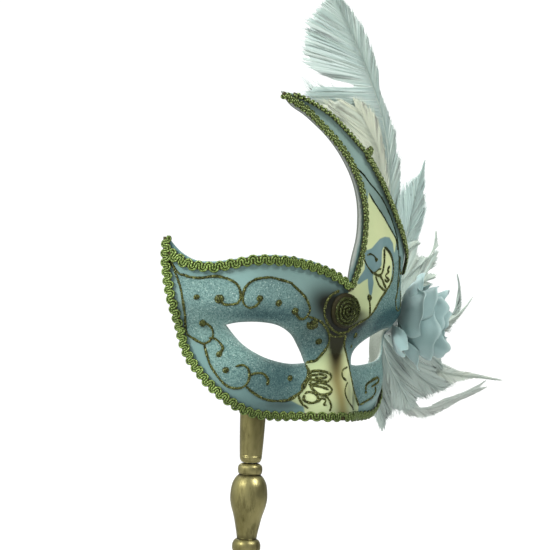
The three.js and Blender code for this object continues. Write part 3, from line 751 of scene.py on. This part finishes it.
# ---- gimp braid ----------------------------------------------------------------------
BRAIDS = {  # name: width, pitch of the loops, threads, u, z points
    "braid_brow": [6.2, 5.2, 2, [(-99.6, 54.6), (-96, 52), (-90, 49), (-84, 48), (-76, 48),
        (-68, 50), (-56, 52.8), (-42, 53.2), (-28, 51.7), (-14, 48.5), (-4, 45), (0, 42.4),
        (2.6, 40.6)]],
    "braid_left_edge": [5.6, 4.9, 2, [(-102.3, 62.4), (-101.6, 57), (-101, 50), (-98.4, 40),
        (-94, 27), (-86.7, 6), (-75.9, -7.7), (-62.7, -18.8), (-48.5, -26.0), (-33, -27.8),
        (-12, -27.7), (-0.1, -27.7)]],
    "braid_right_edge": [5.6, 4.9, 2, [(0.1, -27.7), (12, -27.7), (33, -27.8), (48.5, -26.0),
        (62.5, -18.7), (75.2, -7.6), (81, -0.8)]],
    "braid_crest_inner": [4.8, 3.9, 2, [(3.4, 40.8), (5, 44.4), (7, 50), (9.2, 60), (9.4, 70),
        (7.8, 80), (4, 90), (-1.7, 99.3), (-11.3, 110.1), (-23.2, 120), (-36.9, 129.7),
        (-46.2, 134.7), (-53.6, 138.4)]],
    "braid_crest_upper": [3.0, 3.0, 1, [(3.6, 112.9), (-2.2, 116), (-9.3, 120.7), (-16, 125.1),
        (-25, 130.7), (-34.4, 135), (-42, 137.3), (-48, 139)]],
    "braid_crest_lower": [4.4, 3.6, 2, [(6.8, 113.2), (5.4, 115.2), (3.2, 114.6), (3.4, 111.8),
        (8, 108.6), (15.1, 102.4), (26, 93.4), (35.5, 85.9), (43, 77.8), (52, 67.8), (64, 57.2),
        (71, 52.2)]],
}
THREAD_SIDES = 8


def make_braid(name, look, core, chance):
    """Threads side by side that swing over and back in round loops, on a dark band that is painted
    shade between the loops.
    """
    width, pitch, threads, points = BRAIDS[name]
    line = curve(points, 0.5)
    run = run_along(line)
    side = np.gradient(line, axis=0)
    side = unit(np.stack([-side[:, 1], side[:, 0]], 1))
    length = run[-1]
    turns = round(2 * length / pitch)
    half = length / turns
    gauge = half / threads * 0.97
    straight = max(0.05, (width - gauge * threads) / 2 - half / 2)
    arc = np.radians(np.linspace(180, 0, 10))
    x, y = [], []
    for k in range(turns):
        sign = 1 if k % 2 == 0 else -1
        swing = 1 + chance.normal(0, 0.05)
        x.append(half * (k + 0.5) + half / 2 * np.cos(arc))
        y.append(sign * (straight + half / 2 * np.sin(arc)) * swing)
    x, y = np.concatenate(x), np.concatenate(y)
    bend = unit(np.stack([np.gradient(x), np.gradient(y)], 1))
    thread_run = np.cumsum(np.hypot(np.gradient(x), np.gradient(y)))
    # How far round each cord faces up: lit on top, painted shade beneath.
    ridge = np.sin((np.arange(THREAD_SIDES) + 0.5) * 2 * math.pi / THREAD_SIDES)
    heap = Heap()
    for k in range(threads):
        offset = (k - (threads - 1) / 2) * gauge
        at = np.clip(x - bend[:, 1] * offset, 0, length)
        off = y + bend[:, 0] * offset
        u = np.interp(at, run, line[:, 0]) + np.interp(at, run, side[:, 0]) * off
        z = np.interp(at, run, line[:, 1]) + np.interp(at, run, side[:, 1]) * off
        reach = np.abs(off) / (width / 2)
        w = GAP + 1.6 - 0.8 * reach**2 + 0.1 * np.sin(thread_run * 0.7 + k * 2)
        up = face_normal(u, z)
        body, faces = strands(on_face(u, z, w)[None], up[None], gauge * 0.96, gauge,
                              THREAD_SIDES)
        # Painted shade: darker where the loops dip towards the shell, and darker low down; grain
        # sets how strong the twist's painted glint and shade are.
        tip_and_low_shade = np.maximum(0.85 * smooth((reach - 0.7) / 0.28), 0.3 * smooth((-16 - z) / 8))
        heap.add(body, faces, tip=np.repeat(tip_and_low_shade, THREAD_SIDES),
                 run=np.repeat(thread_run + k * 0.35, THREAD_SIDES), ridge=np.tile(ridge, len(u)),
                 grain=1.0 if "crest" in name else 0.3)
    heap.piece(name, look, "gimp_braid", [name])
    # A dark band under the threads stands in for the shade between the loops.
    flat = curve(points, 1.0)
    body, faces = strands(on_face(*flat.T, GAP + 0.7)[None], face_normal(*flat.T)[None],
                          width * 0.66, 1.4, 10)
    piece(name + "_core", body, faces, core)


# ---- flower --------------------------------------------------------------------------
FLOWER_U, FLOWER_Z, FLOWER_AZIMUTH = 80, 25, math.radians(48)
FLOWER_OUT = np.array([math.sin(FLOWER_AZIMUTH), -math.cos(FLOWER_AZIMUTH), 0])
FLOWER_SIDE = np.array([math.cos(FLOWER_AZIMUTH), math.sin(FLOWER_AZIMUTH), 0])
TEMPLE_U = np.linspace(50, 98, 97)  # where clear_of_temple looks for the shell
PETALS = {  # piece: angles of its petals, foot, reach, rise, bulge, half width in degrees, lip
    "petals_outer": [(146, 288, 352, 72), 2.5, 23, 15, 0.8, 60, 0.9],
    "petals_middle": [(112, 206, 300, 26), 4.5, 20.5, 20, 1.05, 66, 0.9],
    "petals_inner": [(158, 252, 340, 70), 6.5, 15.5, 25, 1.2, 66, 0.7],
    "petals_core": [(150, 270, 30), 9, 8.5, 24.5, 1.4, 82, 0.4],
}
LOW_PETAL = (219, -2.0, 26, 8.5, 0.7, 27, 0.3)  # one more of petals_outer, over the eye
PAD_SIDES = 40


def flower_point(radius, angle, height):
    base = surface(np.array(float(FLOWER_U)), np.array(float(FLOWER_Z)))
    radius, angle, height = np.broadcast_arrays(radius, angle, height)
    return (base + FLOWER_OUT * (height + 2.5)[..., None]
            + FLOWER_SIDE * (radius * np.cos(angle))[..., None]
            + np.array([0, 0, 1.0]) * (radius * np.sin(angle))[..., None])


def clear_of_temple(points, gap):
    """Moves points that lie behind the shell's outer face out to gap mm in front of it."""
    moved = []
    for point in points:
        shell = surface(TEMPLE_U, np.full(len(TEMPLE_U), point[2]))
        face = np.interp(point @ FLOWER_SIDE, shell @ FLOWER_SIDE, shell @ FLOWER_OUT)
        moved.append(point + FLOWER_OUT * max(0, face + gap - point @ FLOWER_OUT))
    return np.array(moved)


def petal(turn, foot, reach, rise, bulge, spread, lip, chance):
    """One cupped petal; returns its grid, its pale rim and its shaded foot."""
    s = np.linspace(0, 1, 26)[:, None]
    t = np.linspace(-1, 1, 31)[None]
    reach, rise = reach * chance.uniform(0.94, 1.05), rise * chance.uniform(0.92, 1.07)
    q = s * (1 - 0.16 * np.abs(t) ** 4 - 0.04 * np.exp(-((t - 0.2) / 0.3) ** 2))
    p = 1 - q
    radius = (1.2 * p**3 + 3 * p**2 * q * 0.72 * reach
              + 3 * p * q**2 * (0.6 + bulge / 2) * reach + q**3 * reach)
    height = foot + rise * (3 * p * q**2 * 0.42 + q**3) + 3 * p**2 * q * 0.02 * rise
    rolled = smooth((q - 0.72) / 0.28)
    radius = radius + lip * 3.0 * rolled
    height = height - lip * 3.2 * rolled**2
    phase = chance.uniform(0, 6, 5)
    wave = (1.7 * np.sin(3.2 * t + phase[0]) + 0.8 * np.sin(6.1 * t + phase[1])
            + 0.15 * np.sin(15 * t + phase[2])) * q**1.8
    radius = radius * (1 - 0.1 * q * t**2 + 0.05 * t) + wave * min(1, reach / 16)
    height = height + (1.3 * np.sin(4.6 * t + phase[3]) + 0.7 * np.sin(9.3 * t + phase[4])) * q**2
    opening = 0.7 + 0.3 * np.sin(math.pi * np.clip(q, 0, 0.9))
    angle = math.radians(turn) + np.radians(spread) * t * opening
    rim = np.clip(smooth((q - 0.88) / 0.12) + 0.5 * smooth((np.abs(t) - 0.88) / 0.12), 0, 1)
    deep = 1 - smooth(q / 0.6)
    return (flower_point(radius, angle, height), np.broadcast_to(rim, radius.shape),
            np.broadcast_to(deep, radius.shape))


def make_flower(look, felt, chance):
    """Four rings of petals, a rolled bud of three leaves and the felt plug, which it returns."""
    for name, (angles, foot, reach, rise, bulge, spread, lip) in PETALS.items():
        heap = Heap()
        petals = [(angle + chance.uniform(-3, 3), foot + (k % 2) * 0.7, reach, rise, bulge,
                   spread, lip) for k, angle in enumerate(angles)]
        if name == "petals_outer":
            petals.append(LOW_PETAL)
        for shape in petals:
            grid, rim, deep = petal(*shape, chance)
            points, faces = sheet_solid(grid, 0.28)
            heap.add(points, faces, rim=np.tile(rim.ravel(), 2) * 0.6,
                     deep=np.tile(deep.ravel(), 2) * 0.8)
        made = heap.piece(name, look, "petal_cloth", [name])
    heap = Heap()
    for k in range(3):
        s = np.linspace(0, 1, 20)[:, None]
        t = np.linspace(0, 1, 22)[None]
        angle = k * 2.1 + t * 3.4 + s * 0.5
        radius = (0.5 + 3.1 * np.sin(math.pi * s**0.8 * 0.86)) * (0.72 + 0.28 * t)
        grid = flower_point(radius, angle, 11 + 19 * s - 0.8 * np.abs(t - 0.5))
        points, faces = sheet_solid(grid, 0.3)
        # The bud sits deep in the flower, under painted shade.
        rim = np.broadcast_to(smooth((s - 0.85) / 0.15) * 0.6, angle.shape)
        heap.add(points, faces, rim=np.tile(rim.ravel(), 2), deep=0.3)
    made = heap.piece("flower_bud", look, "petal_cloth", ["flower_bud"])
    profile = [(0, -10.4), (5.5, -10.4), (7.4, -9.4), (7.9, -7), (7.9, -2), (7.6, 0.2),
               (6.6, 1.0), (0, 1.1)]
    turns = np.arange(PAD_SIDES) * 2 * math.pi / PAD_SIDES
    rings = [clear_of_temple(flower_point(max(r, 0.05), turns, h), 0.15 + 0.04 * k)
             for k, (r, h) in enumerate(profile)]
    faces = ring_faces(len(rings), PAD_SIDES)
    return piece("flower_pad", np.vstack(rings), faces, felt, ["flower_pad"])


# ---- feathers ------------------------------------------------------------------------
# h runs along the fan, v up, g towards the viewer, all in mm.
FAN_ROOT = np.array([76.0, 40.0, 25.0])
FAN_AZIMUTH = math.radians(-20)
FAN_ALONG = np.array([math.cos(FAN_AZIMUTH), math.sin(FAN_AZIMUTH), 0])
FAN_OUT = np.array([math.sin(FAN_AZIMUTH), -math.cos(FAN_AZIMUTH), 0])
BARB_STEP, BARB_STEPS = 1.1, 110  # a barb's walk out from the quill
BARB_POINTS, BARB_SIDES, WEB_POINTS = 9, 4, 8
FEATHERS = {
    # name: depth, tint (teal, grey, dark), barb spacing, barb width, splits per 10 mm, outline,
    # quills: (line, left angles, right angles, bend per 10 mm, thickness); angles are those
    # at the foot and the tip, or a list of how far along and the angle there
    "plume_tall": [-13, (0.75, 0.1, 0.3), 0.4, 0.5, 1.1, [(6, 12), (4, 35), (2, 52), (-1, 70),
        (-6, 84), (-13, 98), (-22, 109), (-32, 119), (-42, 124), (-51, 127), (-47, 132), (-41, 136),
        (-28, 135.2), (-15, 134.6), (-18, 137), (-29, 137.3), (-31, 139.5), (-39, 139.6),
        (-44, 142.5), (-53, 152), (-50, 168), (-40, 180), (-28, 188), (-12, 176), (-2, 160),
        (3, 147), (4, 136), (12, 122), (17, 112), (18, 103), (21, 98), (22, 85), (22, 70), (20, 50),
        (17, 30), (13, 12)], [([(9, 8), (12, 30), (14, 55), (14, 75), (12.5, 88), (11, 101),
        (8, 113), (4.5, 124), (1, 132), (-3, 140), (-9, 152), (-18, 168), (-28, 184)], [(0, 26),
        (0.3, 32), (0.52, 40), (0.6, 64), (0.68, 66), (0.76, 52), (0.88, 38), (1, 20)], [(0, 16),
        (0.5, 17), (0.8, 24), (1, 18)], -1.0, 1.4)]],
    "plume_short": [-11.5, (0.05, 0.1, 0.0), 0.4, 0.5, 1.0, [(4, 12), (3, 50), (0, 70), (-5, 84),
        (-12, 98), (-21, 109), (-31, 119), (-37, 124), (-22, 128), (-8, 128), (2, 121), (8, 104),
        (12, 88), (14, 70), (13, 40), (10, 12)], [([(8, 10), (9.5, 40), (9.5, 65), (7, 85),
        (3, 100), (-4, 112), (-12, 123)], [(0, 22), (0.4, 32), (0.8, 36), (1, 26)], [(0, 12),
        (0.6, 14), (1, 16)], 0.5, 0.9)]],
    "leaf_feather": [-10, (1.0, 0.0, 0.1), 0.38, 0.8, 0.9, [(12, 11), (15, 35), (17, 55), (20, 77),
        (28, 85), (32, 88), (35, 97), (35.5, 88), (37, 80), (38, 66), (36, 55), (33, 43), (26, 20),
        (19, 11)], [([(16, 10), (22, 35), (26, 54), (29, 70), (32, 84), (35, 96)], [(0, 16),
        (0.6, 20), (1, 12)], [(0, 16), (0.6, 20), (1, 10)], 0.4, 1.2)]],
    "marabou_upper": [-8.5, (0.6, 0.2, 0.1), 0.42, 0.5, 1.8, [(8, 8), (14, 30), (22, 44), (31, 48),
        (34, 46), (32, 42), (38, 38.5), (41, 39), (43, 45), (44, 55), (46, 48), (47, 41), (47, 35),
        (44, 32), (39, 29.5), (45, 29), (45, 26), (38, 24.5), (45, 23), (41, 20), (36, 14),
        (24, 8)], [([(12, 8), (17, 26), (24, 40), (32, 46.5)], (20, 14), (22, 14), -3, 0.6),
        ([(13, 8), (22, 22), (34, 33), (42, 42), (44.4, 53)], (20, 8), (22, 6), -2, 0.7), ([(14, 7),
        (26, 16), (36, 23), (45, 27.5)], (24, 16), (24, 14), -3, 0.7)]],
    "biot_upper": [-11.5, (0.35, 0.45, 0.4), 0.32, 0.6, 0.5, [(14, 4), (40, 5), (52, 5), (57, 6.5),
        (59.5, 11), (61.5, 18), (62, 30), (66, 17), (66, 9), (63, 1), (59, -5), (48, -6), (30, -3),
        (14, 0)], [([(14, 2), (34, 1.5), (50, 0.5), (59, 4), (63, 12), (64, 20), (62.3, 29.5)],
        (12, 7), (12, 7), 0, 0.9)]],
    "biot_middle": [-10, (0.5, 0.3, 0.1), 0.35, 0.5, 0.8, [(14, -3), (45, 1), (58, 4), (66, 9),
        (73, 17), (68, 9), (60, 0), (50, -6), (30, -9), (14, -7)], [([(14, -5), (40, -3), (56, 1),
        (66, 8), (72.5, 16.5)], (14, 6), (14, 8), 0, 0.8)]],
    "biot_lower": [-11.5, (0.3, 0.5, 0.0), 0.35, 0.6, 1.6, [(12, -10), (30, -16), (48, -21),
        (61, -26), (67, -28), (73, -28.5), (80, -29.8), (98, -32.8), (80, -32), (73, -33),
        (65, -36), (57, -41), (50, -44), (36, -40), (22, -28), (11, -15)], [([(12, -12), (30, -21),
        (50, -28), (70, -30.8), (84, -31.2), (98, -32.8)], [(0, 26), (0.6, 30), (1, 5)], [(0, 26),
        (0.6, 30), (1, 5)], 1.0, 1.0)]],
    "biot_lowest": [-13, (0.15, 0.8, 0.0), 0.32, 0.62, 0.7, [(10, -12), (20, -28), (37, -45),
        (49, -46.5), (63, -43.5), (77, -38.5), (87, -33), (82, -38), (88, -37), (81, -41),
        (70, -46), (50, -56), (36, -57), (29, -52), (17, -38), (7, -18)], [([(9, -14), (22, -36),
        (36, -50), (50, -51), (66, -45), (80, -39), (87.5, -37)], [(0, 14), (0.7, 15), (1, 8)],
        (14, 8), 0, 1.0), ([(50, -49), (64, -44.5), (77, -38.8), (86.5, -33.5)], (6, 4),
        (6, 4), 0, 0.7)]],
    "marabou_lower": [-8.5, (0.15, 0.7, 0.4), 0.4, 0.5, 2.2, [(11, -10), (3, -24), (4, -48),
        (11, -60), (15, -65), (17, -60), (22, -56), (30, -54), (37, -49), (39, -46), (46, -45),
        (49, -42), (54, -40), (61, -37), (60, -33), (53, -32), (50, -30), (56, -26), (52, -24),
        (53, -19), (47, -14), (30, -8), (14, -5)], [([(9, -8), (7, -25), (9, -42), (15, -63)],
        (24, 12), (22, 12), -3, 0.7), ([(10, -8), (16, -24), (25, -38), (33, -50)], (22, 16),
        (22, 14), -3, 0.7), ([(11, -8), (24, -20), (38, -32), (52, -40)], (22, 16),
        (22, 14), -3, 0.7), ([(12, -7), (28, -13), (42, -18), (54, -26)], (20, 14),
        (22, 14), -3, 0.7)]],
}


def fan_point(h, v, g):
    h, v, g = np.broadcast_arrays(h, v, g)
    return (FAN_ROOT + h[..., None] * FAN_ALONG + v[..., None] * np.array([0, 0, 1.0])
            + g[..., None] * FAN_OUT)


def add_barbs(heap, shaft, angles, sign, outline, depth, style, tint, chance):
    """Tapered barbs along one side of a quill, each cut off where it meets the outline."""
    spacing, width, splits, bend = style
    run = np.linalg.norm(np.diff(shaft, axis=0), axis=1).sum()
    count = int(run / spacing)
    t = np.sort(np.clip((np.arange(count) + chance.uniform(-0.4, 0.4, count)) / count, 0, 1))
    at = t * (len(shaft) - 1)
    tangent = unit(np.gradient(shaft, axis=0))
    start = np.stack([np.interp(at, np.arange(len(shaft)), shaft[:, k]) for k in (0, 1)], 1)
    heading = np.arctan2(*(np.interp(at, np.arange(len(shaft)), tangent[:, k]) for k in (1, 0)))
    group = t * run * splits / 10 + 0.6 * np.sin(t * 31 + chance.random() * 6)
    in_group = group % 1 - 0.5
    if isinstance(angles, tuple):
        angles = list(enumerate(angles))
    angle = np.radians(np.interp(t, *np.array(angles, float).T) - 5 * in_group
                       + chance.normal(0, 0.5, count))
    angle = angle + np.radians(3) * np.sin(t * 17 + chance.random() * 6)
    walk = np.arange(BARB_STEPS) * BARB_STEP
    turning = angle[:, None] - np.radians(bend) * walk / 10
    direction = heading[:, None] + sign * turning
    direction = direction + np.radians(2.5) * np.sin(walk / 9 + chance.random((count, 1)) * 6)
    h = start[:, :1] + np.cumsum(np.cos(direction), 1) * BARB_STEP
    v = start[:, 1:] + np.cumsum(np.sin(direction), 1) * BARB_STEP
    outside = ~is_inside(h, v, outline)
    reach = np.where(outside.any(1), outside.argmax(1), BARB_STEPS - 1) * BARB_STEP
    ragged = 1 + np.clip(chance.normal(-0.02, 0.05, count), -0.25, 0.08)
    ragged = ragged - 0.1 * (np.abs(in_group) ** 2) * 4 * chance.random(count)
    reach = np.clip(reach * ragged, 0, (BARB_STEPS - 2) * BARB_STEP)
    keep = reach > 1.5
    h, v, reach, start = h[keep], v[keep], reach[keep], start[keep]
    share = np.linspace(0, 1, BARB_POINTS)
    at = reach[:, None] * share / BARB_STEP
    low = at.astype(int)
    part = at - low
    row = np.arange(len(reach))[:, None]
    h = h[row, low] * (1 - part) + h[row, low + 1] * part
    v = v[row, low] * (1 - part) + v[row, low + 1] * part
    h[:, 0], v[:, 0] = start[:, 0], start[:, 1]
    level = (depth + chance.uniform(-0.05, 0.05, (len(reach), 1))
             + 0.12 * np.sin(in_group[keep] * 3)[:, None])
    curl = -1.6 * (reach[:, None] / 40) * share**2 + 0.25 * sign
    paths = fan_point(h, v, level + curl)
    fade = np.clip(1.02 - share**2.2, 0.12, 1)
    body, faces = strands(paths, np.broadcast_to(FAN_OUT, paths.shape), width * fade,
                          0.16 * fade, BARB_SIDES)
    teal, grey, dark = tint
    teal = np.clip(teal + chance.normal(0, 0.12, len(reach)), 0, 1)
    # Painted shade near the quill, plus a random darker tone for each barb and the feather's own
    # dark tint.
    shade_and_tone = dark + 0.16 * chance.random((len(reach), 1)) + 0.08 * np.exp(-(share * 4) ** 2)
    heap.add(body, faces, teal=np.repeat(teal, BARB_POINTS * BARB_SIDES), grey=grey,
             dark=np.repeat(shade_and_tone.ravel(), BARB_SIDES))
    clump = np.floor(group[keep])
    for number in np.unique(clump):
        rows = np.flatnonzero(clump == number)
        if len(rows) < 3:
            continue
        body, faces = sheet_solid(paths[rows, :WEB_POINTS], 0.09)
        heap.add(body, faces, teal=np.tile(np.repeat(teal[rows], WEB_POINTS), 2), grey=grey,
                 dark=np.tile(shade_and_tone[rows, :WEB_POINTS].ravel(), 2))


def make_feather(name, look, chance):
    """Quills, each with barbs on both sides that fill the feather's outline together."""
    depth, tint, spacing, width, splits, outline, quills = FEATHERS[name]
    edge = curve([*outline, outline[0]], 2.0)[:-1]
    heap = Heap()
    for line, left, right, bend, thick in quills:
        shaft = curve(line, 1.2)
        paths = fan_point(shaft[:, 0], shaft[:, 1], depth + 0.15)[None]
        taper = thick * (1 - 0.82 * np.linspace(0, 1, len(shaft)))[None]
        body, faces = strands(paths, np.broadcast_to(FAN_OUT, paths.shape), taper, taper * 0.8, 8)
        heap.add(body, faces, teal=tint[0] * 0.6, grey=tint[1], dark=0.25)
        for sign, angles in ((1, left), (-1, right)):
            add_barbs(heap, shaft, angles, sign, edge, depth, (spacing, width, splits, bend),
                      tint, chance)
    heap.piece(name, look, "feather", [name])


def make_binding(look):
    """Tape wound round the quills' ends."""
    along = np.linspace(-8, 8, 150)
    path = fan_point(np.full(150, 6.0), along, np.full(150, -12.0))[None]
    wrap = 6.5 + 0.3 * (along * 0.4 % 1)
    body, faces = strands(path, np.broadcast_to(FAN_OUT, path.shape), wrap[None], wrap[None], 40)
    piece("feather_binding", body, faces, look, ["feather_binding"])


# ---- stick ---------------------------------------------------------------------------
STICK_AXIS, STICK_SIDES = (-39.0, 19.5), 80


def turned(name, start, sections, look):
    """A turned piece of the stick: smooth runs of (radius, height) that meet at sharp edges."""
    runs = []
    for section in sections:
        runs.append(curve([start, *section], 0.7))
        start = section[-1]
    inner = np.vstack(runs)
    angle = np.arange(STICK_SIDES) * 2 * math.pi / STICK_SIDES
    ring = np.stack([inner[:, :1] * np.cos(angle), inner[:, :1] * np.sin(angle),
                     np.repeat(inner[:, 1:], STICK_SIDES, 1)], -1).reshape(-1, 3)
    points = np.vstack([ring, [[0, 0, inner[0, 1]], [0, 0, inner[-1, 1]]]])
    points[:, :2] += STICK_AXIS
    faces = ring_faces(len(inner), STICK_SIDES)[:-2]
    low, last = len(ring), (len(inner) - 1) * STICK_SIDES
    for j in range(STICK_SIDES):
        k = (j + 1) % STICK_SIDES
        faces += [[low, k, j], [low + 1, last + j, last + k]]
    r = inner[:, 0]
    mean = np.convolve(np.pad(r, 6, mode="edge"), np.ones(13) / 13, "valid")
    groove = np.clip((mean - r - 0.12) / 0.7, 0, 1) * 0.85
    values = {"groove": np.concatenate([np.repeat(groove, STICK_SIDES), [0, 0]])}
    piece(name, points, faces, look, [name], "stick", values)


def make_stick(look):
    turned("stick_socket", (4.2, -53.3),
           [[(4.7, -53.2)], [(5.6, -51.8), (5.85, -50)],
            [(6.3, -42), (6.75, -30), (6.85, -24)],
            [(6.8, -22.7), (6.3, -22.1), (5.2, -22), (4.5, -22.1)],
            [(4.3, -23), (4.3, -43.6)], [(3.6, -44)]], look)
    turned("stick_shaft", (5.6, -280),
           [[(6.4, -279.8), (8.2, -277), (8.7, -272.5), (6.4, -266), (4.7, -262), (5.4, -254),
             (6.4, -190), (5.9, -140), (5.5, -106), (5.3, -101.5)],
            [(6.4, -101), (7.35, -99), (7.5, -97.2), (7.2, -95.4), (6.2, -93.9), (5.2, -93.4)],
            [(5.7, -90), (7.4, -82), (9.2, -76), (9.8, -71), (9.1, -65), (7.4, -61.4),
             (5.6, -59.6)],
            [(6.2, -58.9), (6.45, -57), (6.2, -55.2), (5.2, -54.2), (4.2, -53.7)]], look)


# ---- making it all -------------------------------------------------------------------
paint, thread, glue = paint_look(), thread_look(), glitter_glue_look()
# A dark band under each braid, as painted shade between the loops.
core = plain_look("braid_shade_band", (0.8,), (40, 38, 14), (84, 78, 34), (0.4,), 0.15,
                  roughness=0.75, metallic=0.15)
disc = plain_look("antique_disc", (1.2, 4), (28, 24, 12), (66, 62, 36), (0.5, 4), 0.25,
                  roughness=0.55, metallic=0.3, Specular_IOR_Level=0.2)
felt = plain_look("felt", (0.6, 4), (196, 204, 200), (224, 228, 222), (0.4, 4, 0.7), 0.4,
                  roughness=0.95, Sheen_Weight=0.4)
tape = plain_look("floral_tape", (1.5, 4), (150, 176, 168), (178, 198, 190), (0.35, 3), 0.15,
                  roughness=0.7)
make_shell(paint)
make_glitter_lines(glue, np.random.default_rng(11))
make_medallion(disc, glue, np.random.default_rng(12))
for index, braid in enumerate(BRAIDS):
    make_braid(braid, thread, core, np.random.default_rng(20 + index))
pad = make_flower(petal_look(), felt, np.random.default_rng(31))
down = feather_look()
for index, name in enumerate(FEATHERS):
    make_feather(name, down, np.random.default_rng(40 + index))
make_binding(tape)
make_stick(gilt_look())
bare_wood = wood_look()
for name in ("peg_block", "stick_peg"):
    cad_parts[name].material_slots[0].material = bare_wood


# ---- studio --------------------------------------------------------------------------
FLOOR = -0.1505  # metres, half a millimetre under the stick's end


def make_stage():
    """A pale floor that curves up into a wall behind the mask."""
    look = Look("backdrop", roughness=0.9, Specular_IOR_Level=0.0)
    seen = look.node("ShaderNodeLightPath").outputs["Is Camera Ray"]
    look.set("Base Color", look.mix(look.noise(400, 2), (168, 168, 168), (174, 174, 174)))
    look.shader.inputs["Emission Color"].default_value = (1, 1, 1, 1)
    look.set("Emission Strength", look.scaled(seen, 0, 1, 0.12, 0.75))
    away = np.array([-math.sin(AZIMUTH), math.cos(AZIMUTH), 0])
    profile = [(-2.2, 0.0), (0.0, 0.0), (1.6, 0.0)]
    profile += [(1.6 + 0.7 * math.sin(a), 0.7 - 0.7 * math.cos(a))
                for a in np.linspace(0.1, math.pi / 2, 14)]
    profile.append((2.3, 3.2))
    points = [(away * along + RIGHT * side + [0, 0, height + FLOOR]).tolist()
              for along, height in profile for side in (-3.5, 3.5)]
    faces = [[2 * i, 2 * i + 1, 2 * i + 3, 2 * i + 2] for i in range(len(profile) - 1)]
    mesh = bpy.data.meshes.new("backdrop")
    mesh.from_pydata(points, [], faces)
    mesh.polygons.foreach_set("use_smooth", [True] * len(faces))
    mesh.materials.append(look.material)
    made = bpy.data.objects.new("backdrop", mesh)
    bpy.context.scene.collection.objects.link(made)


def add_light(name, offset, size, power):
    """A round lamp aimed at the mask; its offset is right, towards the camera and up, in m."""
    data = bpy.data.lights.new(name, "AREA")
    data.shape, data.size, data.energy = "DISK", size, power
    lamp = bpy.data.objects.new(name, data)
    lamp.visible_camera = False
    target = BRIDGE * MM + [0, 0, 0.02]
    place = target + offset[0] * RIGHT + offset[1] * BACK + [0, 0, offset[2]]
    z_axis = unit(place - target)
    x_axis = unit(np.cross([0, 0, 1.0], z_axis))
    set_up(lamp, x_axis, np.cross(z_axis, x_axis), z_axis, place)


def make_world():
    """Soft light that grows towards the left of the picture, behind a ground seen as white."""
    world = bpy.data.worlds.new("studio")
    world.use_nodes = True
    world.node_tree.nodes.clear()
    nodes = Nodes(world.node_tree)
    towards = nodes.node("ShaderNodeTexCoord").outputs["Generated"]
    across = nodes.node("ShaderNodeVectorMath", {0: towards, 1: (-RIGHT).tolist()},
                        operation="DOT_PRODUCT").outputs["Value"]
    level = nodes.scaled(across, -0.8, 0.8, 0.06, 1.0)
    soft = nodes.node("ShaderNodeBackground", {0: (0.95, 1.0, 0.99, 1), 1: level})
    white = nodes.node("ShaderNodeBackground", {0: (1, 1, 1, 1), 1: 1.0})
    seen = nodes.node("ShaderNodeLightPath").outputs["Is Camera Ray"]
    mixed = nodes.node("ShaderNodeMixShader", {0: seen, 1: soft.outputs[0], 2: white.outputs[0]})
    nodes.node("ShaderNodeOutputWorld", {0: mixed.outputs[0]})
    bpy.context.scene.world = world


make_stage()
make_world()
add_light("key", (-1.2, 0.9, 0.8), 0.6, 22.0)
add_light("back", (-0.2, -1.0, 1.0), 0.8, 20.0)
add_light("high", (0.9, 0.7, 1.1), 0.6, 15.0)
bpy.context.scene.view_settings.view_transform = "Standard"
